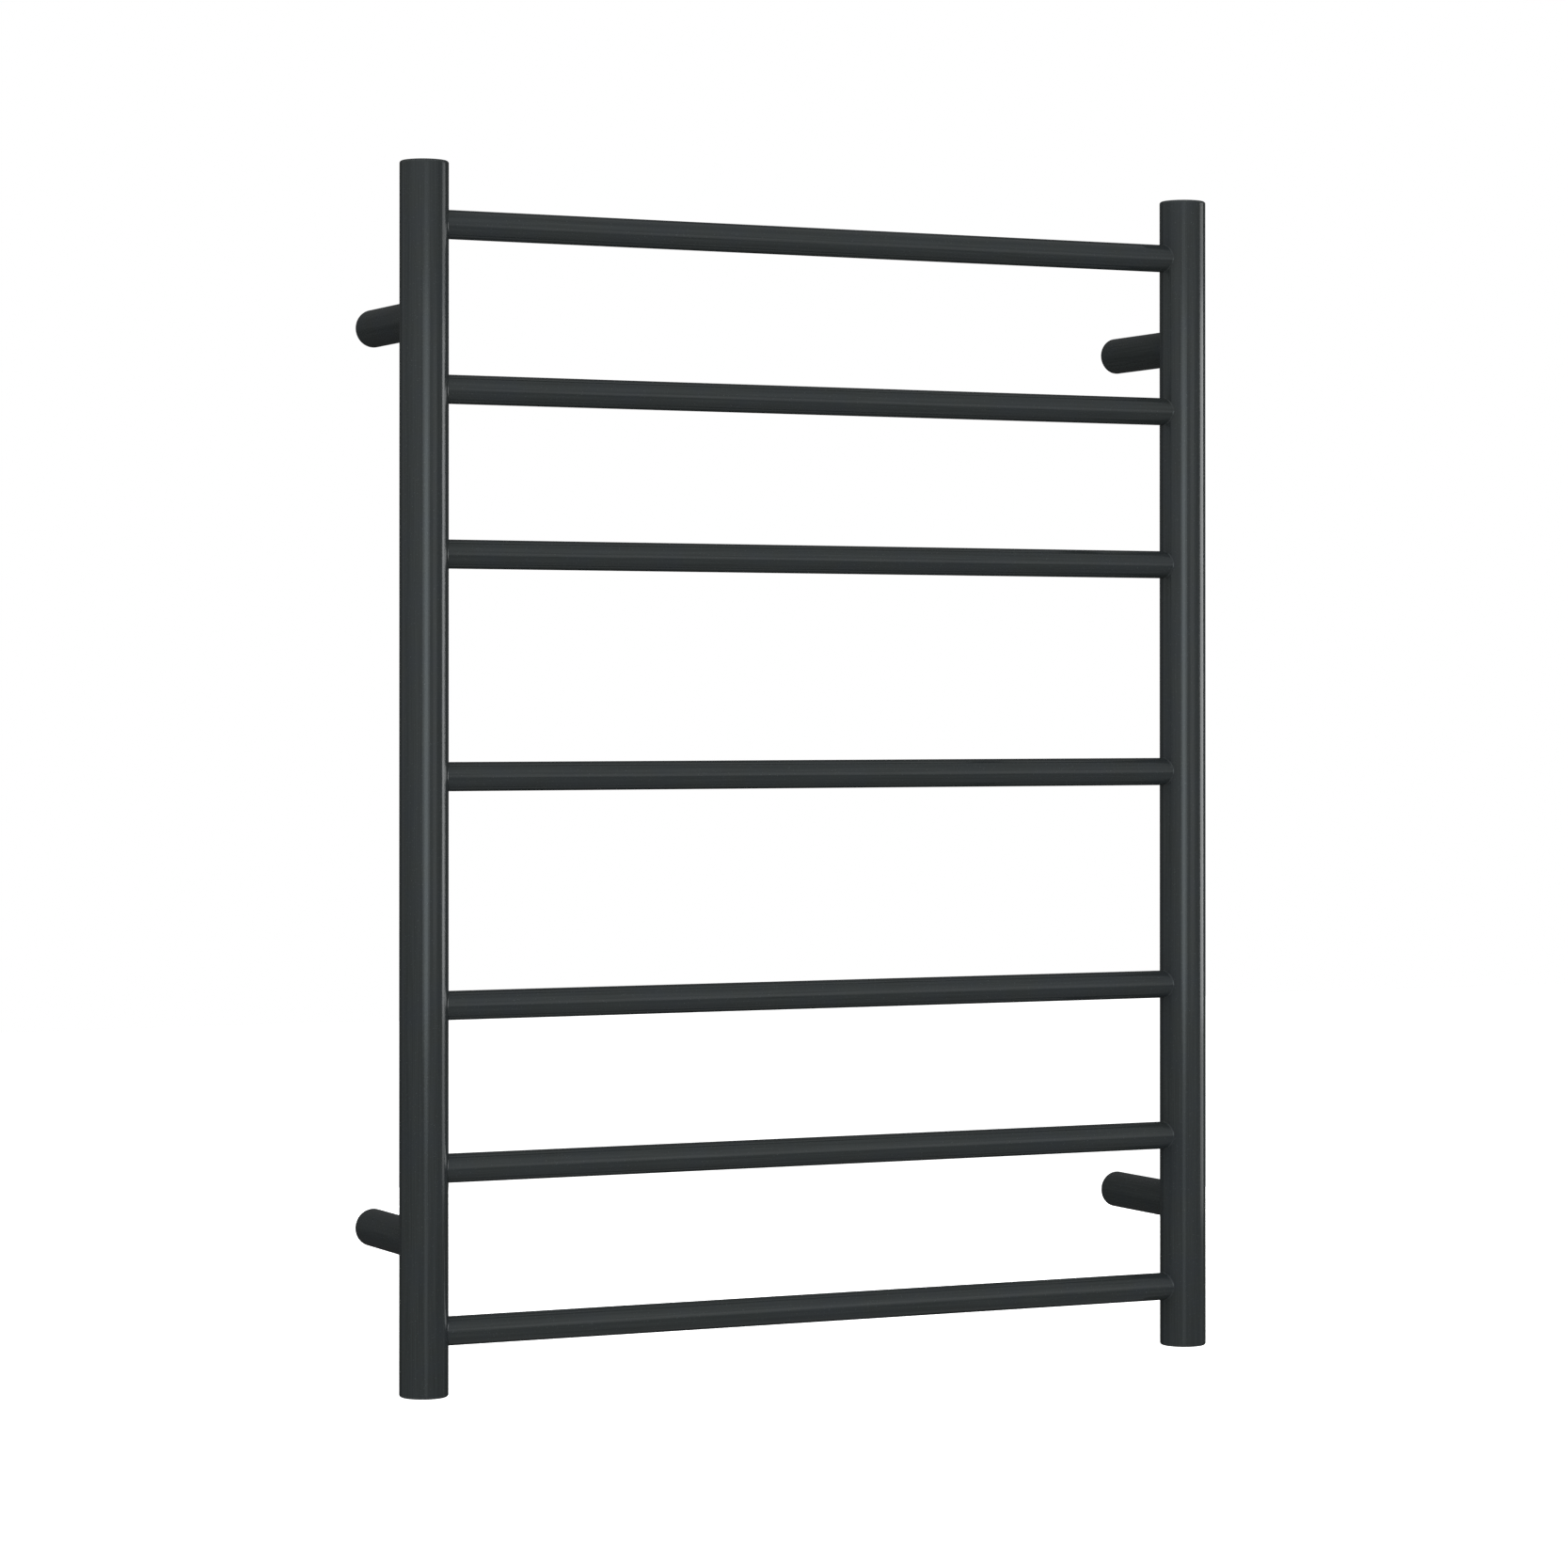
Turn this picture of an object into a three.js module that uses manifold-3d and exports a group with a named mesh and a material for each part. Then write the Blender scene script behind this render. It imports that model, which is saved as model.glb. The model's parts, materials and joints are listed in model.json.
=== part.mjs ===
// An electric towel warmer rack: a welded ladder of round steel tubes, held off the wall on four posts
// and heated by one cable that runs through every tube.
// Millimetres. X runs along the bars, Y into the wall and Z up. The origin is on the wall, midway
// between the uprights and at half their height. Left and right are those of someone facing the rack.
import * as THREE from "three";
import { mergeVertices } from "three/addons/utils/BufferGeometryUtils.js";
import Module from "manifold-3d";

// Overall sizes.
const OVERALL_WIDTH = 600; // outside to outside of the uprights
const OVERALL_HEIGHT = 800; // end to end of the uprights
const OVERALL_DEPTH = 110; // from the wall to the front of the uprights

// Tubes: outside diameter and wall.
const UPRIGHT_DIAMETER = 32;
const UPRIGHT_WALL = 1.5;
const BAR_DIAMETER = 19;
const BAR_WALL = 1.2;
const POST_DIAMETER = 25;
const POST_WALL = 2.5;
const POST_EDGE_CHAMFER = 0.6;

// Heights: the upper and lower bars and posts are set out from the ends of the uprights.
const UPPER_BAR_COUNT = 3;
const UPPER_BAR_INSET = 40.5; // from the top end to the first bar's axis
const UPPER_BAR_PITCH = 107;
const CENTRE_BAR_RISE = 1; // of the middle bar above half height
const LOWER_BAR_COUNT = 3;
const LOWER_BAR_INSET = 41.5; // from the bottom end to the last bar's axis
const LOWER_BAR_PITCH = 105.5;
const UPPER_POST_INSET = 102; // from the top end to the post's axis
const LOWER_POST_INSET = 100; // from the bottom end to the post's axis

// End caps of the uprights.
const CAP_THICKNESS = 2;
const CAP_EDGE_RADIUS = 1.6;
const CAP_SPIGOT_LENGTH = 8;
const CAP_SPIGOT_WALL = 1.5;

// Wall bosses, which the posts slide over, and the grub screws that lock them.
const BOSS_LENGTH = 20;
const BOSS_NOSE_CHAMFER = 1;
const GROOVE_DEPTH = 0.8;
const GROOVE_WIDTH = 6;
const GRUB_INSET = 9; // from the wall to the grub screw's axis
const GRUB_DIAMETER = 5;
const GRUB_SOCKET_ACROSS_FLATS = 2.5;
const GRUB_SOCKET_DEPTH = 1.8;
const GRUB_RECESS = 0.3; // of its head below the post's surface
const WALL_SCREW_HOLE_DIAMETER = 4.5;
const WALL_SCREW_SINK_DIAMETER = 8.4;
const WALL_SCREW_HOLE_EDGE = 2; // metal between the wired boss's screw hole and its rim
const CABLE_HOLE_DIAMETER = 7;
const CABLE_HOLE_EDGE = 1.6; // metal between the cable hole and the boss's rim

// Supply cable grommet, in the wired boss.
const GROMMET_WALL = 0.9;
const GROMMET_FLANGE = 1.2; // how far its flange stands out, and how thick it is

// Heating cable and what is on it.
const CABLE_DIAMETER = 4;
const CABLE_BEND_RADIUS = 24;
const CABLE_TAIL = 50; // from the last bar's axis down to the cable's end
const END_SLEEVE_LENGTH = 25;
const END_SLEEVE_GRIP = 15; // length of cable inside the sleeve
const SLEEVE_WALL = 1;
const COLD_JOINT_DIAMETER = 12;
const COLD_JOINT_LENGTH = 30;
const COLD_JOINT_INSET = 28; // from the wall to its rear end
const COLD_JOINT_GRIP = 13; // length of cable inside the joint
const SUPPLY_CABLE_DIAMETER = 5;
const SUPPLY_SOCKET_DEPTH = 10; // in the cold joint's rear end

// Thermal cut-out, held against the front of the right upright's bore by a bowed leaf spring.
const CUTOUT_SIZE = { width: 8, thickness: 4, height: 20, corner: 0.8 };
const CUTOUT_RISE = 14; // from the lower post's axis to its lower end
const SPRING_THICKNESS = 0.5;
const SPRING_HEIGHT = 9;
const SPRING_RADIUS = 17;
const CUTOUT_LEAD_DIAMETER = 1.6;
const CUTOUT_LEAD_RISE = 4; // above the axis of the cold joint
const CUTOUT_LEAD_BEND_RADIUS = 5;
const CUTOUT_LEAD_GRIP = 6; // length of lead inside the cold joint

// Earth point, inside the right upright's lower cap.
const EARTH_STUD_DIAMETER = 4;
const EARTH_STUD_LENGTH = 12;
const EARTH_FOOT = { diameter: 9, thickness: 0.8 };
const EARTH_RING = { diameter: 8, thickness: 0.8, barrelDiameter: 3.2, barrelLength: 7, tongueWidth: 3 };
const EARTH_NUT = { acrossFlats: 7, thickness: 3.2 };

// Clearances.
const SEAM = 0.3; // between pieces that are welded, pressed or clamped together
const SLIDE_FIT = 0.3; // between a boss and its post's bore, all round
const CABLE_FIT = 0.3; // between a cable or lead and the hole or sleeve that it lies in

// Facets round each kind of piece.
const UPRIGHT_FACETS = 32;
const TUBE_FACETS = 24;
const SMALL_FACETS = 16;
const HOLE_FACETS = 12;
const BEND_STEPS = 4;
const CAP_EDGE_STEPS = 2;
const HALF_CABLE_FACETS = 4;

// Radii and places that follow from the sizes above.
const uprightRadius = UPRIGHT_DIAMETER / 2;
const uprightBore = uprightRadius - UPRIGHT_WALL;
const barRadius = BAR_DIAMETER / 2;
const barBore = barRadius - BAR_WALL;
const postRadius = POST_DIAMETER / 2;
const postBore = postRadius - POST_WALL;
const bossRadius = postBore - SLIDE_FIT;
const uprightX = OVERALL_WIDTH / 2 - uprightRadius;
const tubeY = uprightRadius - OVERALL_DEPTH; // axes of the uprights and bars, in front of the wall
const topZ = OVERALL_HEIGHT / 2;
const bottomZ = -OVERALL_HEIGHT / 2;
const lowerPostZ = bottomZ + LOWER_POST_INSET;
const uprightLength = OVERALL_HEIGHT - 2 * (CAP_THICKNESS + SEAM);
const coldJointFrontY = -COLD_JOINT_INSET - COLD_JOINT_LENGTH;
const cableHoleRise = bossRadius - CABLE_HOLE_EDGE - CABLE_HOLE_DIAMETER / 2; // above its boss's axis

// Heights of the bars' axes: an upper group hung from the top, one in the middle, and a lower group
// stood on the bottom, all listed from the top down.
const row = (count, start, pitch) => Array.from({ length: count }, (_, i) => start + i * pitch);
const barZs = [
  ...row(UPPER_BAR_COUNT, topZ - UPPER_BAR_INSET, -UPPER_BAR_PITCH),
  CENTRE_BAR_RISE,
  ...row(LOWER_BAR_COUNT, bottomZ + LOWER_BAR_INSET, LOWER_BAR_PITCH).reverse(),
];

const SIDES = [
  { name: "left", sign: -1 },
  { name: "right", sign: 1 },
];
const POST_ROWS = [
  { name: "upper", z: topZ - UPPER_POST_INSET },
  { name: "lower", z: lowerPostZ },
];

const material = (color, roughness, metalness) =>
  new THREE.MeshStandardMaterial({ color, roughness, metalness });
const FINISH = {
  coatedSteel: material("#3a3e3f", 0.42, 0.55),
  zinc: material("#9aa0a3", 0.4, 0.9),
  screwSteel: material("#55585b", 0.4, 0.9),
  springSteel: material("#8b8f92", 0.35, 0.95),
  tinnedCopper: material("#b9b3a4", 0.35, 0.95),
  cableSilicone: material("#8e3b2e", 0.6, 0),
  sleeve: material("#1c1d1f", 0.55, 0),
  rubber: material("#202123", 0.8, 0),
  cutoutPlastic: material("#d8d2c2", 0.5, 0),
};

const wasm = await Module();
wasm.setup();

// The solid inside a closed geometry, ready to be cut or joined.
function solidOf(geometry) {
  const bare = geometry.clone();
  bare.deleteAttribute("normal");
  bare.deleteAttribute("uv");
  const merged = mergeVertices(bare, 1e-4);
  return new wasm.Manifold(
    new wasm.Mesh({
      numProp: 3,
      vertProperties: merged.attributes.position.array,
      triVerts: new Uint32Array(merged.index.array),
    }),
  );
}

// A body with every geometry in joined added to it and every one in cut taken away.
function shaped(body, { joined = [], cut = [] }) {
  let made = solidOf(body);
  for (const geometry of joined) made = made.add(solidOf(geometry));
  for (const geometry of cut) made = made.subtract(solidOf(geometry));
  const surface = made.getMesh();
  const geometry = new THREE.BufferGeometry();
  geometry.setAttribute("position", new THREE.BufferAttribute(surface.vertProperties, 3));
  geometry.setIndex(new THREE.BufferAttribute(surface.triVerts, 1));
  geometry.computeVertexNormals();
  return geometry;
}

// Turns a geometry made along Y, three.js's own axis, to lie along another one.
function along(axis, geometry) {
  if (axis === "X") geometry.rotateZ(-Math.PI / 2);
  if (axis === "Z") geometry.rotateX(Math.PI / 2);
  return geometry;
}

// A round rod from one point on an axis to another, through the point (x, y, z).
function rod(axis, radius, from, to, facets, [x, y, z] = [0, 0, 0]) {
  const geometry = new THREE.CylinderGeometry(radius, radius, Math.abs(to - from), facets);
  geometry.translate(0, (from + to) / 2, 0);
  return along(axis, geometry).translate(x, y, z);
}

// A body turned about Y from an outline of [radius, height] pairs, anticlockwise with the axis at its left.
function turned(outline, facets) {
  const points = outline.map(([radius, height]) => new THREE.Vector2(radius, height));
  return new THREE.LatheGeometry(points, facets);
}

// An outline round a plain bore: it closes on itself instead of on the axis.
const closed = (outline) => [...outline, outline[0]];

// Points of a quarter circle from angle start, in radians, turning anticlockwise.
function quarter(centreX, centreY, radius, start, steps) {
  return Array.from({ length: steps + 1 }, (_, i) => {
    const angle = start + (i / steps) * (Math.PI / 2);
    return [centreX + radius * Math.cos(angle), centreY + radius * Math.sin(angle)];
  });
}

// A route of straight runs joined by arcs. It has stations only at its ends and along its arcs, so that
// a long straight run is swept in one step.
class BentRoute extends THREE.Curve {
  constructor(corners, bendRadius) {
    super();
    const points = corners.map((corner) => new THREE.Vector3(...corner));
    const direction = (i) => points[i + 1].clone().sub(points[i]).normalize();
    this.stations = [{ point: points[0], tangent: direction(0) }];
    for (let i = 1; i < points.length - 1; i++) {
      this.addBend(points[i], direction(i - 1), direction(i), bendRadius);
    }
    this.stations.push({ point: points.at(-1), tangent: direction(points.length - 2) });
  }

  addBend(corner, into, outOf, radius) {
    const turn = into.angleTo(outOf);
    const inward = outOf.clone().addScaledVector(into, -into.dot(outOf)).normalize();
    const start = corner.clone().addScaledVector(into, -radius * Math.tan(turn / 2));
    const centre = start.addScaledVector(inward, radius);
    for (let i = 0; i <= BEND_STEPS; i++) {
      const angle = (turn * i) / BEND_STEPS;
      const across = Math.cos(angle);
      const ahead = Math.sin(angle);
      const point = centre.clone().addScaledVector(inward, -radius * across);
      const tangent = into.clone().multiplyScalar(across).addScaledVector(inward, ahead);
      this.stations.push({ point: point.addScaledVector(into, radius * ahead), tangent });
    }
  }

  get steps() {
    return this.stations.length - 1;
  }

  getUtoTmapping(u) {
    return u;
  }

  getPoint(t, target = new THREE.Vector3()) {
    return target.copy(this.stations[Math.round(t * this.steps)].point);
  }

  getTangent(t, target = new THREE.Vector3()) {
    return target.copy(this.stations[Math.round(t * this.steps)].tangent);
  }
}

// A round cable of the given diameter along a route of corners.
function sweptCable(diameter, corners, bendRadius) {
  const section = new THREE.Shape().absarc(0, 0, diameter / 2, 0, 2 * Math.PI);
  const extrudePath = new BentRoute(corners, bendRadius);
  return new THREE.ExtrudeGeometry(section, {
    steps: extrudePath.steps,
    curveSegments: HALF_CABLE_FACETS,
    extrudePath,
  });
}

// A prism of a flat outline in X and Y, from Z = 0 up to its height.
const prism = (shape, height, curveSegments) =>
  new THREE.ExtrudeGeometry(shape, { depth: height, bevelEnabled: false, curveSegments });

// A hexagonal rod along Z.
const hexRod = (acrossFlats, from, to) => rod("Z", acrossFlats / Math.sqrt(3), from, to, 6);

const rack = new THREE.Group();
rack.name = "towel_warmer_rack";

// Adds a named mesh to a group, at a place in that group.
function add(group, name, geometry, finish, [x, y, z] = [0, 0, 0]) {
  const mesh = new THREE.Mesh(geometry, finish);
  mesh.name = name;
  mesh.position.set(x, y, z);
  group.add(mesh);
}

// One upright: a tube about the group's Z axis, open towards the bars and the posts where they join it.
function uprightTube(inwards) {
  const half = uprightLength / 2;
  const past = uprightRadius + SEAM;
  const barHoles = barZs.map((z) =>
    inwards > 0
      ? rod("X", barBore, 0, past, TUBE_FACETS, [0, 0, z])
      : rod("X", barBore, -past, 0, TUBE_FACETS, [0, 0, z]),
  );
  const postHoles = POST_ROWS.map(({ z }) => rod("Y", postBore, 0, past, TUBE_FACETS, [0, 0, z]));
  return shaped(rod("Z", uprightRadius, -half, half, UPRIGHT_FACETS), {
    cut: [rod("Z", uprightBore, -half - 1, half + 1, UPRIGHT_FACETS), ...barHoles, ...postHoles],
  });
}

// An end cap: a disc with a rounded rim over a thin spigot, its top face at height 0.
function endCap() {
  const edge = Math.min(CAP_EDGE_RADIUS, CAP_THICKNESS);
  const spigotRadius = uprightBore - SEAM;
  const spigotEnd = -CAP_THICKNESS - CAP_SPIGOT_LENGTH;
  return turned(
    [
      [0, -CAP_THICKNESS],
      [spigotRadius - CAP_SPIGOT_WALL, -CAP_THICKNESS],
      [spigotRadius - CAP_SPIGOT_WALL, spigotEnd],
      [spigotRadius, spigotEnd],
      [spigotRadius, -CAP_THICKNESS],
      [uprightRadius, -CAP_THICKNESS],
      ...quarter(uprightRadius - edge, -edge, edge, 0, CAP_EDGE_STEPS),
      [0, 0],
    ],
    UPRIGHT_FACETS,
  );
}

// One bar: a tube about X, coped at both ends to sit against the uprights.
function barTube() {
  const reach = uprightX + uprightRadius;
  const half = barRadius + 1;
  const uprightAt = (x) => rod("Z", uprightRadius + SEAM, -half, half, UPRIGHT_FACETS, [x, 0, 0]);
  return shaped(rod("X", barRadius, -uprightX, uprightX, TUBE_FACETS), {
    cut: [rod("X", barBore, -reach, reach, TUBE_FACETS), uprightAt(-uprightX), uprightAt(uprightX)],
  });
}

// One wall post: a tube about Y from the wall to the upright, coped there and tapped below for its screw.
function postTube() {
  const tube = turned(
    closed([
      [postBore, tubeY],
      [postRadius, tubeY],
      [postRadius, -POST_EDGE_CHAMFER],
      [postRadius - POST_EDGE_CHAMFER, 0],
      [postBore, 0],
    ]),
    TUBE_FACETS,
  );
  return shaped(tube, {
    cut: [
      rod("Z", uprightRadius + SEAM, -postRadius - 1, postRadius + 1, UPRIGHT_FACETS, [0, tubeY, 0]),
      rod("Z", GRUB_DIAMETER / 2 + SEAM, -postRadius - 1, 0, HOLE_FACETS, [0, -GRUB_INSET, 0]),
    ],
  });
}

// One wall boss, its back on the wall: a turned plug with a groove for the grub screw, drilled for the
// wall screw. The wired one is drilled off centre and has a second hole for the supply cable.
function wallBoss(wired) {
  const rootRadius = bossRadius - GROOVE_DEPTH;
  const plug = turned(
    [
      [0, -BOSS_LENGTH],
      [bossRadius - BOSS_NOSE_CHAMFER, -BOSS_LENGTH],
      [bossRadius, -BOSS_LENGTH + BOSS_NOSE_CHAMFER],
      [bossRadius, -GRUB_INSET - GROOVE_WIDTH / 2],
      [rootRadius, -GRUB_INSET - GROOVE_WIDTH / 2 + GROOVE_DEPTH],
      [rootRadius, -GRUB_INSET + GROOVE_WIDTH / 2 - GROOVE_DEPTH],
      [bossRadius, -GRUB_INSET + GROOVE_WIDTH / 2],
      [bossRadius, 0],
      [0, 0],
    ],
    TUBE_FACETS,
  );
  const screwHole = WALL_SCREW_HOLE_DIAMETER / 2;
  const sink = WALL_SCREW_SINK_DIAMETER / 2;
  const drop = wired ? bossRadius - WALL_SCREW_HOLE_EDGE - screwHole : 0;
  const countersink = turned(
    [
      [0, -BOSS_LENGTH - 1],
      [sink + 1, -BOSS_LENGTH - 1],
      [screwHole, -BOSS_LENGTH + sink - screwHole],
      [0, -BOSS_LENGTH + sink - screwHole],
    ],
    HOLE_FACETS,
  ).translate(0, 0, -drop);
  const drill = (diameter, z) => rod("Y", diameter / 2, -BOSS_LENGTH - 1, 1, HOLE_FACETS, [0, 0, z]);
  const cut = [drill(WALL_SCREW_HOLE_DIAMETER, -drop), countersink];
  if (wired) cut.push(drill(CABLE_HOLE_DIAMETER, cableHoleRise));
  return shaped(plug, { cut });
}

// One grub screw, pointing up: its tip stands in the boss's groove and its socket faces down.
function grubScrew() {
  const tipZ = -(bossRadius - GROOVE_DEPTH + SEAM);
  const headZ = -(postRadius - GRUB_RECESS);
  const socket = hexRod(GRUB_SOCKET_ACROSS_FLATS, headZ - 1, headZ + GRUB_SOCKET_DEPTH);
  const shank = rod("Z", GRUB_DIAMETER / 2, headZ, tipZ, SMALL_FACETS);
  return shaped(shank, { cut: [socket] }).translate(0, -GRUB_INSET, 0);
}

// The supply cable's grommet: a soft sleeve through the wired boss, with a flange on its nose.
function grommet() {
  const outer = CABLE_HOLE_DIAMETER / 2 - CABLE_FIT;
  const inner = outer - GROMMET_WALL;
  const noseY = -BOSS_LENGTH - SEAM;
  return turned(
    closed([
      [inner, noseY - GROMMET_FLANGE],
      [outer + GROMMET_FLANGE, noseY - GROMMET_FLANGE],
      [outer + GROMMET_FLANGE, noseY],
      [outer, noseY],
      [outer, 0],
      [inner, 0],
    ]),
    SMALL_FACETS,
  );
}

// The heating cable's corners: in through the lower right post, then along every bar from the lowest up,
// changing sides in the uprights, and down into an upright from the top bar.
function heatingRoute() {
  const corners = [
    [uprightX, coldJointFrontY + COLD_JOINT_GRIP, lowerPostZ],
    [uprightX, tubeY, lowerPostZ],
  ];
  let side = 1;
  for (const z of barZs.toReversed()) {
    corners.push([side * uprightX, tubeY, z], [-side * uprightX, tubeY, z]);
    side = -side;
  }
  corners.push([side * uprightX, tubeY, barZs[0] - CABLE_TAIL]);
  return corners;
}

// The sleeve over the heating cable's far end, closed below, with the cable's end at height 0.
function endSleeve() {
  const inner = CABLE_DIAMETER / 2 + CABLE_FIT;
  const lowEnd = END_SLEEVE_GRIP - END_SLEEVE_LENGTH;
  return turned(
    [
      [0, lowEnd],
      [inner + SLEEVE_WALL, lowEnd],
      [inner + SLEEVE_WALL, END_SLEEVE_GRIP],
      [inner, END_SLEEVE_GRIP],
      [inner, -CABLE_FIT],
      [0, -CABLE_FIT],
    ],
    SMALL_FACETS,
  );
}

// The moulded joint between the heating cable, the cut-out's lead and the supply cable, its rear end at
// height 0. The supply cable's socket is left empty.
function coldJoint() {
  const front = -COLD_JOINT_LENGTH;
  const bore = (diameter, from, to, z = 0) =>
    rod("Y", diameter / 2 + CABLE_FIT, from, to, HOLE_FACETS, [0, 0, z]);
  return shaped(rod("Y", COLD_JOINT_DIAMETER / 2, front, 0, SMALL_FACETS), {
    cut: [
      bore(CABLE_DIAMETER, front - 1, front + COLD_JOINT_GRIP + CABLE_FIT),
      bore(CUTOUT_LEAD_DIAMETER, front - 1, front + CUTOUT_LEAD_GRIP + CABLE_FIT, CUTOUT_LEAD_RISE),
      bore(SUPPLY_CABLE_DIAMETER, -SUPPLY_SOCKET_DEPTH, 1),
    ],
  });
}

// How far in front of the upright's axis the cut-out's front corners meet the bore.
const cutoutFront = Math.sqrt(uprightBore ** 2 - (CUTOUT_SIZE.width / 2) ** 2) - SEAM;

// The cut-out's body: a rounded block behind the front of the bore, its lower end at height 0.
function cutoutBody() {
  const { width, thickness, height, corner } = CUTOUT_SIZE;
  const x = width / 2;
  const front = -cutoutFront;
  const back = front + thickness;
  const outline = new THREE.Shape();
  outline.absarc(x - corner, front + corner, corner, -Math.PI / 2, 0);
  outline.absarc(x - corner, back - corner, corner, 0, Math.PI / 2);
  outline.absarc(corner - x, back - corner, corner, Math.PI / 2, Math.PI);
  outline.absarc(corner - x, front + corner, corner, Math.PI, 1.5 * Math.PI);
  return prism(outline, height, 2);
}

// The leaf spring: its crown presses the back of the cut-out and its tips stand on the sides of the bore.
function cutoutSpring() {
  const crown = CUTOUT_SIZE.thickness - cutoutFront + SEAM;
  const centre = crown + SPRING_RADIUS;
  // Half angle at which the bow's outer face meets the bore, from the two circles' chord.
  const reach = uprightBore - SEAM;
  const chordY = (centre ** 2 + reach ** 2 - SPRING_RADIUS ** 2) / (2 * centre);
  const half = Math.acos((centre - chordY) / SPRING_RADIUS);
  const facing = -Math.PI / 2;
  const outline = new THREE.Shape();
  outline.absarc(0, centre, SPRING_RADIUS, facing - half, facing + half);
  outline.absarc(0, centre, SPRING_RADIUS - SPRING_THICKNESS, facing + half, facing - half, true);
  return prism(outline, SPRING_HEIGHT, 8);
}

// The cut-out's lead: forwards from the cold joint, then up to the cut-out's lower end.
function cutoutLeadRoute() {
  const z = lowerPostZ + CUTOUT_LEAD_RISE;
  const y = tubeY - cutoutFront + CUTOUT_SIZE.thickness / 2;
  return [
    [uprightX, coldJointFrontY + CUTOUT_LEAD_GRIP, z],
    [uprightX, y, z],
    [uprightX, y, lowerPostZ + CUTOUT_RISE - SEAM],
  ];
}

// The earth stud: a round foot on the cap's inner face, which is at height 0, and a shank up from it.
function earthStud() {
  const foot = EARTH_FOOT.diameter / 2;
  const shank = EARTH_STUD_DIAMETER / 2;
  return turned(
    [
      [0, 0],
      [foot, 0],
      [foot, EARTH_FOOT.thickness],
      [shank, EARTH_FOOT.thickness],
      [shank, EARTH_STUD_LENGTH],
      [0, EARTH_STUD_LENGTH],
    ],
    SMALL_FACETS,
  );
}

// The ring terminal on the stud, its underside at height 0, with its crimp barrel turned up at the back.
function ringTerminal() {
  const { diameter, thickness, barrelDiameter, barrelLength, tongueWidth } = EARTH_RING;
  const barrelY = EARTH_NUT.acrossFlats / Math.sqrt(3) + barrelDiameter / 2 + SEAM;
  const barrelBore = barrelDiameter / 2 - thickness;
  const hole = EARTH_STUD_DIAMETER / 2 + SEAM;
  const tongue = new THREE.BoxGeometry(tongueWidth, barrelY, thickness);
  return shaped(rod("Z", diameter / 2, 0, thickness, SMALL_FACETS), {
    joined: [
      tongue.translate(0, barrelY / 2, thickness / 2),
      rod("Z", barrelDiameter / 2, 0, barrelLength, HOLE_FACETS, [0, barrelY, 0]),
    ],
    cut: [
      rod("Z", hole, -1, thickness + 1, HOLE_FACETS),
      rod("Z", barrelBore, thickness, barrelLength + 1, HOLE_FACETS, [0, barrelY, 0]),
    ],
  });
}

// The nut that clamps the ring terminal, its underside at height 0.
function earthNut() {
  const { acrossFlats, thickness } = EARTH_NUT;
  const bore = rod("Z", EARTH_STUD_DIAMETER / 2 + SEAM, -1, thickness + 1, HOLE_FACETS);
  return shaped(hexRod(acrossFlats, 0, thickness), { cut: [bore] });
}

// The ladder: uprights with their caps, and the bars between them.
const ladder = new THREE.Group();
ladder.position.y = tubeY;
rack.add(ladder);
for (const { name, sign } of SIDES) {
  const side = new THREE.Group();
  side.position.x = sign * uprightX;
  ladder.add(side);
  add(side, `${name}_upright`, uprightTube(-sign), FINISH.coatedSteel);
  const topCap = along("Z", endCap());
  const bottomCap = along("Z", endCap()).rotateX(Math.PI);
  add(side, `${name}_top_cap`, topCap, FINISH.coatedSteel, [0, 0, topZ]);
  add(side, `${name}_bottom_cap`, bottomCap, FINISH.coatedSteel, [0, 0, bottomZ]);
}
barZs.forEach((z, i) => add(ladder, `bar_${i + 1}`, barTube(), FINISH.coatedSteel, [0, 0, z]));

// The four wall fixings. The supply cable comes in at the lower right one.
for (const { name: level, z } of POST_ROWS) {
  for (const { name: hand, sign } of SIDES) {
    const wired = level === "lower" && hand === "right";
    const fixing = new THREE.Group();
    fixing.position.set(sign * uprightX, 0, z);
    rack.add(fixing);
    add(fixing, `${level}_${hand}_post`, postTube(), FINISH.coatedSteel);
    add(fixing, `${level}_${hand}_wall_boss`, wallBoss(wired), FINISH.zinc);
    add(fixing, `${level}_${hand}_grub_screw`, grubScrew(), FINISH.screwSteel);
    if (wired) {
      add(fixing, "supply_cable_grommet", grommet(), FINISH.rubber, [0, 0, cableHoleRise]);
      add(fixing, "cold_joint", coldJoint(), FINISH.sleeve, [0, -COLD_JOINT_INSET, 0]);
    }
  }
}

// The heating cable, and the sleeve on its far end, in the upright that it finishes in.
const heatingCorners = heatingRoute();
const heatingCable = sweptCable(CABLE_DIAMETER, heatingCorners, CABLE_BEND_RADIUS);
add(rack, "heating_cable", heatingCable, FINISH.cableSilicone);
add(rack, "heating_cable_end_sleeve", along("Z", endSleeve()), FINISH.sleeve, heatingCorners.at(-1));

// The thermal cut-out, its spring and its lead.
const cutout = new THREE.Group();
cutout.position.set(uprightX, tubeY, lowerPostZ + CUTOUT_RISE);
rack.add(cutout);
add(cutout, "thermal_cutout", cutoutBody(), FINISH.cutoutPlastic);
const springZ = (CUTOUT_SIZE.height - SPRING_HEIGHT) / 2;
add(cutout, "thermal_cutout_spring", cutoutSpring(), FINISH.springSteel, [0, 0, springZ]);
const cutoutLead = sweptCable(CUTOUT_LEAD_DIAMETER, cutoutLeadRoute(), CUTOUT_LEAD_BEND_RADIUS);
add(rack, "thermal_cutout_lead", cutoutLead, FINISH.sleeve);

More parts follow.
